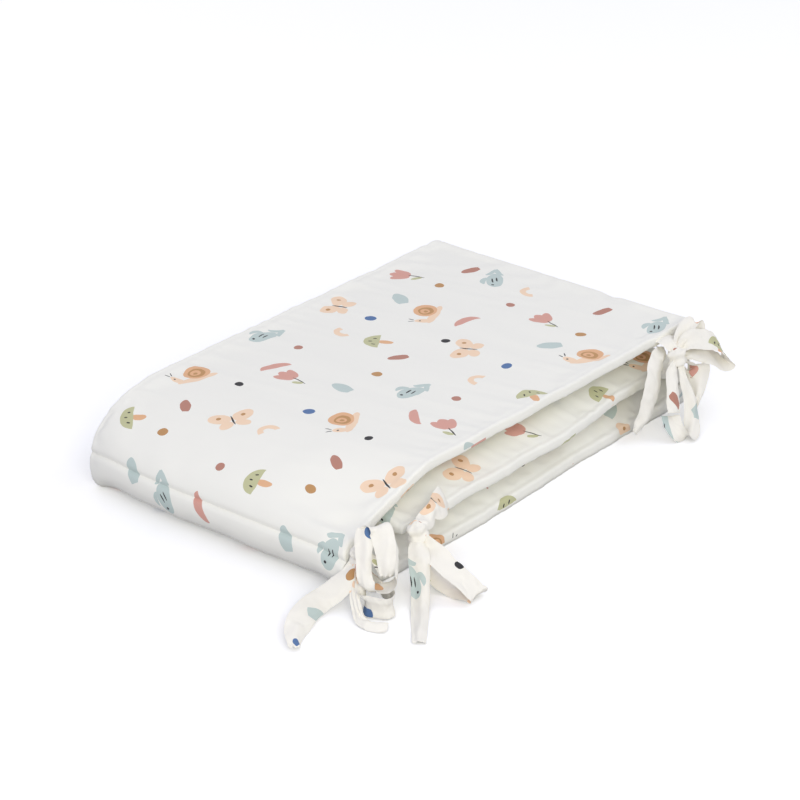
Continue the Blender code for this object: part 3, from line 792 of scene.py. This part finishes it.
def ribbon_frames(table):
    """Stations of a ribbon: middle, direction across, normal and the gathered width.

    The table's curve gives the middle and the width's direction; that direction is
    then made square to the path, and the normal is path x across.  One more station
    lies close behind each end, so that the end's turn stays narrow.
    """
    rows = np.asarray(table, dtype=float)
    heading, tilt = np.radians(rows[:, 4]), np.radians(rows[:, 5])
    across = rows[:, 3:4] * MM * np.stack(
        [np.cos(tilt) * np.cos(heading), np.cos(tilt) * np.sin(heading), np.sin(tilt)], 1)
    stations = spline(np.hstack([rows[:, :3] * MM, across]), RIBBON_STEPS, 3)
    first = stations[:1] + END_HEM * (stations[1:2] - stations[:1])
    last = stations[-1:] + END_HEM * (stations[-2:-1] - stations[-1:])
    stations = np.vstack([stations[:1], first, stations[1:-1], last, stations[-1:]])
    centre, across = stations[:, :3], stations[:, 3:]
    path = np.gradient(centre, axis=0)
    path /= np.linalg.norm(path, axis=1)[:, None]
    width = np.linalg.norm(across, axis=1)
    across = across - np.sum(across * path, axis=1)[:, None] * path
    across /= np.linalg.norm(across, axis=1)[:, None]
    return centre, across, np.cross(path, across), width


def gathered_pleats(share, far, wide, seed):
    """Rise of the pleats across a ribbon: fine at a knot, broad where it only narrows.

    Where a knot draws the ribbon narrower than it was cut, the pleats are just high
    enough to take up the lost width: height = pitch / pi * sqrt(cut / width - 1).
    """
    gathered = np.sqrt(np.clip(RIBBON_CUT / wide - 1.0, 0.0, PLEAT_MOST))
    at_knot = 1.0 - smooth_step(FULLY_PLEATED, PLEATS_GONE, wide)
    stray = PLEAT_STRAY * drift(far, 0.0, PLEAT_STRAY_PITCH, seed)
    pleat = 0.0
    for waves, amount in (
            (PLEATS, at_knot), (BROAD_FOLDS, BROAD_FOLD_SHARE * (1.0 - at_knot))):
        wave = np.sin(2.0 * np.pi * waves * share + stray + waves)
        pleat = pleat + PLEAT_SHARE * amount * wide / waves / np.pi * gathered * wave
    return pleat


def ribbon_creases(flat_across, far, seed):
    """Rise of a ribbon's creases: soft ones, finer ones on them and sharper fold lines.

    The creases are drifts.  A fold line runs where a slow drift passes through nothing.
    """
    crease = drift(far, flat_across, RIBBON_CREASE_PITCH, seed + 1)
    fine = drift(far, flat_across, FINE_CREASE_PITCH, seed + 2)
    crease = RIBBON_CREASE * (crease + FINE_CREASE * fine)
    pressed = np.abs(drift(far, FOLD_LINE_SLANT * flat_across, FOLD_LINE_PITCH, seed + 3))
    return crease + FOLD_LINE * np.clip(1.0 - pressed / FOLD_LINE_SHARP, 0.0, 1.0)


def ribbon(table, seed, print_place):
    """One ribbon as two faces that meet at its hemmed edges: points and flat coordinates.

    point = middle + across * share * width + normal * (crown + pleats + creases)
            +- normal * half thickness, which closes at the edges and ends.
    The shares follow a sine, so they crowd towards the two hemmed edges.
    """
    centre, across, normal, width = ribbon_frames(table)
    share = 0.5 * np.sin(np.linspace(-0.5, 0.5, RIBBON_COLS) * np.pi)[None, :]
    far, wide = walked(centre)[:, None], width[:, None]
    flat_across = share * RIBBON_CUT
    crown = RIBBON_CROWN * wide * (1.0 - (2.0 * share) ** 2)
    pleat = gathered_pleats(share, far, wide, seed)
    crease = ribbon_creases(flat_across, far, seed)
    sheet = centre[:, None, :] + across[:, None, :] * (share * wide)[..., None]
    sheet = sheet + normal[:, None, :] * (crown + pleat + crease)[..., None]
    from_end = np.minimum(far, far[-1] - far)
    half = RIBBON_THICK / 2.0 * thickness_profile(from_end, RIBBON_THICK, 2.0)
    half = half * (1.0 - (2.0 * np.abs(share)) ** RIBBON_EDGE_POWER)
    faces = []
    for side in (1.0, -1.0):
        face = sheet + side * normal[:, None, :] * half[..., None]
        face[..., 2] = np.maximum(face[..., 2], RIBBON_FLOOR_GAP + (1.0 + side) / 2.0 * half)
        flat = stacked(
            far + print_place[0], side * flat_across + print_place[1] + side * RIBBON_CUT)
        faces.append((face, flat, side < 0.0))
    return faces


def wound_knot(row, seed):
    """A knot: a boxy ellipsoid with slanting ridges where the ribbon is wound round it.

    radius = 1 + rise * cos(turns * polar angle + slant * sin(round angle)) + unevenness
    """
    x, y, z, half_x, half_y, half_z = (value * MM for value in row)
    theta = np.linspace(0.0, np.pi, KNOT_RINGS)[:, None]
    phi = np.linspace(0.0, 2.0 * np.pi, KNOT_SIDES)[None, :]
    boxy = (np.abs(np.sin(theta)) ** KNOT_POWER + np.abs(np.cos(theta)) ** KNOT_POWER) ** (
        -1.0 / KNOT_POWER)
    ridge = np.cos(2.0 * KNOT_TURNS * theta + KNOT_SLANT * np.sin(phi + seed))
    wrinkle = drift(np.cos(phi), np.sin(phi) + KNOT_WRINKLE_SLANT * theta,
                    KNOT_WRINKLE_PITCH, seed)
    swell = boxy * (1.0 + (KNOT_RIDGE * ridge + KNOT_WRINKLE * wrinkle) * np.sin(theta))
    points = stacked(
        x + half_x * swell * np.sin(theta) * np.cos(phi),
        y + half_y * swell * np.sin(theta) * np.sin(phi),
        z + half_z * swell * np.cos(theta))
    return points, stacked(phi * half_x + seed * RIBBON_CUT, theta * half_z)


def tied(name, tables, knot, seed, material):
    """All the ribbons of one tie and its knot as one mesh."""
    grids = []
    for k, table in enumerate(tables):
        place = (PRINT_ALONG * (seed + k), PRINT_ACROSS * (3 * k + seed))
        grids += ribbon(table, seed + 10 * k, place)
    if knot is not None:
        grids.append((*wound_knot(knot, seed), False))
    points, quads, flats, start = [], [], [], 0
    for grid, flat, flip in grids:
        rows, cols = grid.shape[:2]
        points.append(grid.reshape(-1, 3))
        flats.append(flat.reshape(-1, 2))
        quads.append(grid_quads(numbered(rows, cols, start), flip))
        start += rows * cols
    return mesh_from(name, np.vstack(points), np.vstack(quads), np.vstack(flats), material)


def cut_length(tables):
    """The length of cloth in a tie: its ribbons walked along their middles, added up."""
    return float(sum(walked(ribbon_frames(table)[0])[-1] for table in tables))


# ---------------------------------------------------------------------------------
# The print

# Inks of the print, as sRGB hex.
GROUND, TIE_GROUND = "F5F4EA", "F5F2E7"
PINK, TERRACOTTA, OCHRE = "DBA596", "BC8877", "C29564"
SAGE, TEAL, BLUE = "C6C69B", "C4D2CC", "5C7BA7"
APRICOT, TAN, CHARCOAL = "F6D9BB", "E6B68C", "3B3A3B"

# Figures of the print.  Each row is one oval: figure, ink, middle x, y, half sizes
# x, y (mm), turn (degrees), and the flat: what lies below this share of the oval's
# half height is cut away.
BIG_FIGURES = (
    # a fish
    (0, TEAL, 0.0, 0.0, 16.0, 8.5, 0.0, -1.0),
    (0, TEAL, -19.5, 5.0, 8.0, 4.2, 215.0, -0.3),
    (0, TEAL, -19.5, -4.0, 8.0, 4.2, -30.0, -0.3),
    (0, TEAL, 1.0, 9.0, 7.5, 6.0, 12.0, 0.0),
    (0, CHARCOAL, 10.0, 2.0, 1.4, 1.4, 0.0, -1.0),
    (0, CHARCOAL, 0.0, 2.4, 4.6, 0.8, -14.0, -1.0),
    (0, CHARCOAL, -2.0, -1.6, 4.6, 0.8, -14.0, -1.0),
    # a snail
    (1, APRICOT, 2.0, -9.0, 21.0, 4.6, 4.0, -1.0),
    (1, APRICOT, 19.0, -2.0, 4.4, 9.0, -18.0, -1.0),
    (1, TAN, -4.0, 2.0, 13.0, 12.0, 0.0, -1.0),
    (1, OCHRE, -3.0, 1.0, 8.4, 7.8, 0.0, -1.0),
    (1, TAN, -2.4, 2.0, 5.2, 4.8, 0.0, -1.0),
    (1, OCHRE, -2.0, 1.4, 2.2, 2.0, 0.0, -1.0),
    (1, CHARCOAL, 20.5, 1.5, 1.1, 1.1, 0.0, -1.0),
    (1, CHARCOAL, 19.0, 10.5, 0.6, 3.4, 16.0, -1.0),
    (1, CHARCOAL, 23.5, 9.5, 0.6, 3.4, -22.0, -1.0),
    # a mushroom
    (2, TAN, 0.0, -8.0, 4.0, 8.0, 0.0, -1.0),
    (2, SAGE, 0.0, -2.0, 15.5, 15.0, 0.0, 0.0),
    (2, CHARCOAL, -7.0, 3.0, 0.9, 2.0, -10.0, -1.0),
    (2, CHARCOAL, 0.0, 6.5, 0.9, 2.0, 0.0, -1.0),
    (2, CHARCOAL, 7.0, 3.0, 0.9, 2.0, 10.0, -1.0),
    # a tulip
    (3, PINK, 0.0, 5.0, 6.0, 11.0, 0.0, -1.0),
    (3, PINK, -6.0, 4.0, 4.6, 10.0, 24.0, -1.0),
    (3, PINK, 6.0, 4.0, 4.6, 10.0, -24.0, -1.0),
    (3, CHARCOAL, 0.5, -12.0, 0.7, 9.0, 4.0, -1.0),
    (3, SAGE, 5.0, -13.0, 2.4, 6.0, -34.0, -1.0),
    # a butterfly
    (4, APRICOT, -11.0, 6.0, 11.0, 8.0, -28.0, -1.0),
    (4, APRICOT, 11.0, 6.0, 11.0, 8.0, 28.0, -1.0),
    (4, APRICOT, -8.0, -7.0, 7.5, 5.5, 30.0, -1.0),
    (4, APRICOT, 8.0, -7.0, 7.5, 5.5, -30.0, -1.0),
    (4, CHARCOAL, 0.0, 0.0, 0.9, 8.5, 0.0, -1.0),
    (4, OCHRE, -12.0, 7.0, 2.2, 2.2, 0.0, -1.0),
    (4, OCHRE, 12.0, 7.0, 2.2, 2.2, 0.0, -1.0),
)
# Pebbles, petals, dots and a crescent, two to a big cell.
SMALL_FIGURES = (
    (0, BLUE, 0.0, 0.0, 6.6, 5.6, 20.0, -1.0),
    (1, PINK, 0.0, -3.0, 18.0, 9.5, 4.0, -0.1),
    (2, OCHRE, 0.0, 0.0, 6.2, 5.6, 0.0, -1.0),
    (3, APRICOT, 0.0, -4.0, 13.0, 13.0, 0.0, 0.0),
    (3, GROUND, 0.0, -4.0, 6.2, 6.2, 0.0, -0.6),
    (4, CHARCOAL, 0.0, 0.0, 5.0, 4.4, 0.0, -1.0),
    (5, TEAL, 0.0, 0.0, 8.0, 16.0, 8.0, -0.75),
    (6, TERRACOTTA, 0.0, 0.0, 5.4, 5.0, 0.0, -1.0),
    (7, TERRACOTTA, 0.0, 0.0, 5.6, 13.0, -20.0, -0.85),
)

# Each set: its cell (mm), how far every next row stands on (mm), how many figures it has
# and their order along and across, then how far a figure wanders in its cell (mm, from
# side to side), how far it turns (radians, from side to side) and its scale.
BIG_PRINT = {
    "cell": (125.0, 110.0), "shift": 62.5, "kinds": 5, "order": (1.0, 2.0),
    "wander": 26.0, "turn": 1.3, "size": 1.22, "figures": BIG_FIGURES,
}
SMALL_PRINT = {
    "cell": (62.5, 110.0), "shift": 0.0, "kinds": 8, "order": (3.0, 4.0),
    "wander": 22.0, "turn": 2.6, "size": 1.08, "figures": SMALL_FIGURES,
}
SMALL_PLACE = (31.0, 55.0, 0.0) # mm; it puts the small figures between the big ones' rows
SAME_FIGURE = 0.4               # figures' numbers no farther apart than this are the same
HAND_CUT = 1.5                  # mm by which every outline strays, as if cut by hand
HAND_CUT_SIZE = 17.0            # mm from one stray to the next
SLUBS = 0.9                     # slubs of the weave to a mm


def linear(hex_colour):
    """An sRGB hex colour as linear red, green, blue and a full alpha."""
    value = np.array([int(hex_colour[k:k + 2], 16) for k in (0, 2, 4)]) / 255.0
    low = value / 12.92
    high = ((value + 0.055) / 1.055) ** 2.4
    return (*np.where(value <= 0.04045, low, high).tolist(), 1.0)


def add(tree, kind, inputs=(), **settings):
    """Adds a node: settings are its own, inputs are values or sockets by name or place."""
    node = tree.nodes.new(kind)
    for name, value in settings.items():
        setattr(node, name, value)
    for key, value in dict(inputs).items():
        if isinstance(value, bpy.types.NodeSocket):
            tree.links.new(value, node.inputs[key])
        else:
            node.inputs[key].default_value = value
    return node.outputs


def bare_tree(owner):
    """The node tree of a material or a world, emptied."""
    owner.use_nodes = True
    owner.node_tree.nodes.clear()
    return owner.node_tree


def number(tree, operation, *values):
    """A node that works on numbers, each of them a value or a socket."""
    return add(tree, "ShaderNodeMath", enumerate(values), operation=operation)[0]


def vector(tree, operation, *values):
    """The same for vectors."""
    return add(tree, "ShaderNodeVectorMath", enumerate(values), operation=operation)[0]


def scaled(tree, point, factor):
    """A vector times a number."""
    return add(tree, "ShaderNodeVectorMath", {0: point, "Scale": factor},
               operation="SCALE")[0]


def turned_flat(tree, point, angle):
    """A vector turned about Z."""
    return add(tree, "ShaderNodeVectorRotate", {"Vector": point, "Angle": angle},
               rotation_type="Z_AXIS")[0]


def laid_over(tree, share, under, over):
    """One colour laid over another, by its share."""
    return add(tree, "ShaderNodeMix", {"Factor": share, 6: under, 7: over},
               data_type="RGBA")[2]


def oval_group():
    """A node group that is 1 inside one oval of a figure and 0 outside.

    inside = (length((point - middle) turned back / half sizes) < 1)
             * (height above the flat > 0) * (figure here = this figure)
    """
    group = bpy.data.node_groups.new("oval of a figure", "ShaderNodeTree")
    for name, kind in (
            ("Point", "NodeSocketVector"), ("Here", "NodeSocketFloat"),
            ("Figure", "NodeSocketFloat"), ("Middle", "NodeSocketVector"),
            ("Half", "NodeSocketVector"), ("Turn", "NodeSocketFloat"),
            ("Flat", "NodeSocketFloat")):
        group.interface.new_socket(name=name, in_out="INPUT", socket_type=kind)
    group.interface.new_socket(name="Inside", in_out="OUTPUT", socket_type="NodeSocketFloat")
    given = add(group, "NodeGroupInput")
    moved = vector(group, "SUBTRACT", given["Point"], given["Middle"])
    turned = turned_flat(group, moved, given["Turn"])
    shares = vector(group, "DIVIDE", turned, given["Half"])
    length = add(group, "ShaderNodeVectorMath", {0: shares}, operation="LENGTH")["Value"]
    inside = number(group, "LESS_THAN", length, 1.0)
    height = add(group, "ShaderNodeSeparateXYZ", {0: shares})["Y"]
    above = number(group, "GREATER_THAN", height, given["Flat"])
    same = number(group, "COMPARE", given["Here"], given["Figure"], SAME_FIGURE)
    both = number(group, "MULTIPLY", inside, above)
    add(group, "NodeGroupOutput", {"Inside": number(group, "MULTIPLY", both, same)})
    return group


def printed_figures(tree, group, colour, point, cell, shift, kinds, order, wander, turn,
                    size, figures):
    """Lays one set of figures over a colour: one figure to a cell of the cloth.

    Each cell's figure is (column * order[0] + row * order[1]) mod kinds; its place and
    turn come from a noise that is constant over the cell.
    """
    parts = add(tree, "ShaderNodeSeparateXYZ", {0: point})
    row = number(tree, "FLOOR", number(tree, "DIVIDE", parts["Y"], cell[1]))
    along = number(tree, "ADD", parts["X"], number(tree, "MULTIPLY", row, shift))
    column = number(tree, "FLOOR", number(tree, "DIVIDE", along, cell[0]))
    ids = add(tree, "ShaderNodeCombineXYZ", {0: column, 1: row})[0]
    moved = add(tree, "ShaderNodeCombineXYZ", {0: along, 1: parts["Y"]})[0]
    origin = vector(tree, "MULTIPLY", ids, (cell[0], cell[1], 0.0))
    local = vector(tree, "SUBTRACT", moved, origin)
    chance = add(tree, "ShaderNodeTexWhiteNoise", {"Vector": ids}, noise_dimensions="2D")["Color"]
    middle = vector(tree, "MULTIPLY_ADD", chance, (wander, wander, 0.0),
                    ((cell[0] - wander) / 2.0, (cell[1] - wander) / 2.0, 0.0))
    local = vector(tree, "SUBTRACT", local, middle)
    chances = add(tree, "ShaderNodeSeparateXYZ", {0: chance})
    angle = number(tree, "MULTIPLY_ADD", chances["Z"], turn, -turn / 2.0)
    local = scaled(tree, turned_flat(tree, local, angle), 1.0 / size)
    by_row = number(tree, "MULTIPLY", row, order[1])
    here = number(tree, "MULTIPLY_ADD", column, order[0], by_row)
    here = number(tree, "FLOORED_MODULO", here, float(kinds))
    for kind, ink, x, y, half_x, half_y, turned, flat in figures:
        inside = add(tree, "ShaderNodeGroup", {
            "Point": local, "Here": here, "Figure": float(kind), "Middle": (x, y, 0.0),
            "Half": (half_x, half_y, 1.0), "Turn": float(-np.radians(turned)), "Flat": flat,
        }, node_tree=group)["Inside"]
        colour = laid_over(tree, inside, colour, linear(ink))
    return colour


def printed_percale(name, ground):
    """Printed cotton percale: fine plain weave, matt, a soft light edge from its fibres.

    The print follows the cloth's own flat coordinates, in mm.  The threads are 0.25 mm
    apart, too fine to show, so the weave is drawn at 1.1 mm and very low.
    """
    material = bpy.data.materials.new(name)
    tree = bare_tree(material)
    flat = add(tree, "ShaderNodeUVMap", uv_map="cloth")[0]
    point = scaled(tree, flat, 1.0 / MM)
    stray = add(tree, "ShaderNodeTexNoise",
                {"Vector": point, "Scale": 1.0 / HAND_CUT_SIZE, "Detail": 1.0},
                noise_dimensions="2D")["Color"]
    stray = scaled(tree, vector(tree, "SUBTRACT", stray, (0.5, 0.5, 0.5)), 2.0 * HAND_CUT)
    point_cut = vector(tree, "ADD", point, stray)
    between = vector(tree, "ADD", point_cut, SMALL_PLACE)
    group = bpy.data.node_groups.get("oval of a figure") or oval_group()
    colour = printed_figures(tree, group, linear(ground), point_cut, **BIG_PRINT)
    colour = printed_figures(tree, group, colour, between, **SMALL_PRINT)
    slub = add(tree, "ShaderNodeTexNoise",
               {"Vector": point, "Scale": SLUBS, "Detail": 3.0, "Roughness": 0.6},
               noise_dimensions="2D")[0]
    bump = add(tree, "ShaderNodeBump", {"Strength": 0.12, "Distance": 0.15 * MM,
                                        "Height": slub})["Normal"]
    shader = add(tree, "ShaderNodeBsdfPrincipled", {
        "Base Color": colour, "Roughness": 0.88, "IOR": 1.45, "Specular IOR Level": 0.25,
        "Sheen Weight": 0.12, "Sheen Roughness": 0.5, "Normal": bump})[0]
    add(tree, "ShaderNodeOutputMaterial", {"Surface": shader})
    return material


# ---------------------------------------------------------------------------------
# The studio

CAMERA_TURN, CAMERA_HEIGHT = -50.5, 26.2     # degrees round the object and above it
CAMERA_DISTANCE, CAMERA_SEES = 3.63, 50.0    # m
CAMERA_LENS, CAMERA_SENSOR = 139.95, 36.0    # mm
CAMERA_SHIFT = (0.00725, 0.0535)             # shares of the sensor

# Each soft box: place, aim, size, watts and colour.
SOFT_BOXES = (
    ("front", (-1.9, -2.2, 1.5), (0.0, 0.0, 0.05), 1.4, 27.0, "FFFAE0"),
    ("right", (1.6, -1.2, 1.9), (0.0, -0.1, 0.05), 1.2, 8.5, "FFFFFF"),
    ("left", (-1.8, -1.0, 1.0), (0.0, 0.0, 0.05), 1.2, 5.5, "E6E6FF"),
    ("back", (0.3, 2.0, 1.2), (0.0, 0.0, 0.05), 1.4, 3.5, "FFF0D0"),
)
ROOM, ROOM_STRENGTH = "EAECFB", 0.79
PAPER, PAPER_IN_SHADE, PAPER_GLOW = "FCFCFC", "C8C8C8", "7E7E7A"
WHITE, BLACK = "FFFFFF", "000000"
FLOOR_HALF = 6.0                # m


def as_seen(tree, seen, otherwise):
    """One colour for what the camera sees itself and another for the light that it gives."""
    ray = add(tree, "ShaderNodeLightPath")["Is Camera Ray"]
    return laid_over(tree, ray, otherwise, seen)


def paper_floor():
    """A square of white paper under the object, which glows a little for the camera."""
    side = FLOOR_HALF
    mesh = bpy.data.meshes.new("floor")
    mesh.from_pydata(
        [(-side, -side, 0.0), (side, -side, 0.0), (side, side, 0.0), (-side, side, 0.0)],
        [], [(0, 1, 2, 3)])
    paper = bpy.data.materials.new("white paper sweep")
    tree = bare_tree(paper)
    shader = add(tree, "ShaderNodeBsdfPrincipled", {
        "Base Color": as_seen(tree, linear(PAPER), linear(PAPER_IN_SHADE)),
        "Emission Color": as_seen(tree, linear(PAPER_GLOW), linear(BLACK)),
        "Emission Strength": 1.0, "Roughness": 0.9, "Specular IOR Level": 0.1})[0]
    add(tree, "ShaderNodeOutputMaterial", {"Surface": shader})
    mesh.materials.append(paper)
    put("floor", mesh)


def room_light():
    """The room's even light; the camera itself sees plain white."""
    room = bpy.data.worlds.new("room")
    bpy.context.scene.world = room
    tree = bare_tree(room)
    dimmed = tuple(ROOM_STRENGTH * part for part in linear(ROOM))
    glow = add(tree, "ShaderNodeBackground", {
        "Color": as_seen(tree, linear(WHITE), dimmed), "Strength": 1.0})[0]
    add(tree, "ShaderNodeOutputWorld", {"Surface": glow})


def soft_boxes():
    """The soft boxes, each turned to face its aim."""
    for name, place, aim, size, watts, colour in SOFT_BOXES:
        light = bpy.data.lights.new(name, "AREA")
        light.size = size
        light.energy = watts
        light.color = linear(colour)[:3]
        box = put(name, light)
        box.location = place
        box.rotation_euler = (Vector(aim) - Vector(place)).to_track_quat("-Z", "Y").to_euler()


def camera_stand():
    """The camera, on a circle round the object: back = the way from the object to it."""
    turn, height = np.radians(CAMERA_TURN), np.radians(CAMERA_HEIGHT)
    back = Vector((np.sin(turn) * np.cos(height), -np.cos(turn) * np.cos(height),
                   np.sin(height)))
    right = Vector((np.cos(turn), np.sin(turn), 0.0))
    lens = bpy.data.cameras.new("camera")
    lens.sensor_width = CAMERA_SENSOR
    lens.lens = CAMERA_LENS
    lens.shift_x, lens.shift_y = CAMERA_SHIFT
    lens.clip_end = CAMERA_SEES
    camera = put("camera", lens)
    stand = Matrix((right, back.cross(right), back)).transposed().to_4x4()
    stand.translation = back * CAMERA_DISTANCE
    camera.matrix_world = stand
    bpy.context.scene.camera = camera
    bpy.context.scene.view_settings.view_transform = "Standard"


# ---------------------------------------------------------------------------------
# The object and its studio

# Each tie: its name, the node that it dresses, its knot and its ribbons.
TIES = (
    ("tie_outer", "tie_outer_front", OUTER_KNOT, (
        OUTER_TAIL_LONG, OUTER_LOOP_HOOP, OUTER_LOOP_HANGING, OUTER_LOOP_STANDING,
        OUTER_TAIL_SHORT)),
    ("tie_inner", "tie_inner_front", INNER_KNOT, (INNER_STRAP, INNER_TAIL, INNER_LOOP)),
    ("tie_corner", "tie_back", BACK_KNOT, (
        (STRAP_SEAM,) + BACK_STRAP, BACK_EAR, BACK_LOOP_WIDE, BACK_LOOP_LOW, BACK_TAIL_LEFT,
        BACK_TAIL_RIGHT)),
    ("tie_corner_loose", "tie_back_loose", None, ((LOOSE_SEAM,) + LOOSE_TAIL,)),
)

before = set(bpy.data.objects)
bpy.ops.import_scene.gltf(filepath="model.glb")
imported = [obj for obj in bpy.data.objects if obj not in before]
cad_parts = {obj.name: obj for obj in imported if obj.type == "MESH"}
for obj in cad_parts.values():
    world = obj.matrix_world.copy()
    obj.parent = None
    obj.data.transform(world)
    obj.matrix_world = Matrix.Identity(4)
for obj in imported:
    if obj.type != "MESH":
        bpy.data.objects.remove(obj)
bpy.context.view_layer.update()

cloth = printed_percale("printed cotton percale", GROUND)
tie_cloth = printed_percale("printed cotton percale, ties", TIE_GROUND)

bumper = padded_bumper(cloth)
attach(bumper, "root")
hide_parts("bumper")

for seed, (name, node, knot, tables) in enumerate(TIES, start=1):
    tie = tied(name, tables, knot, seed, tie_cloth)
    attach(tie, "root")
    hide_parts(node)
    cut_length(tables)

paper_floor()
room_light()
soft_boxes()
camera_stand()
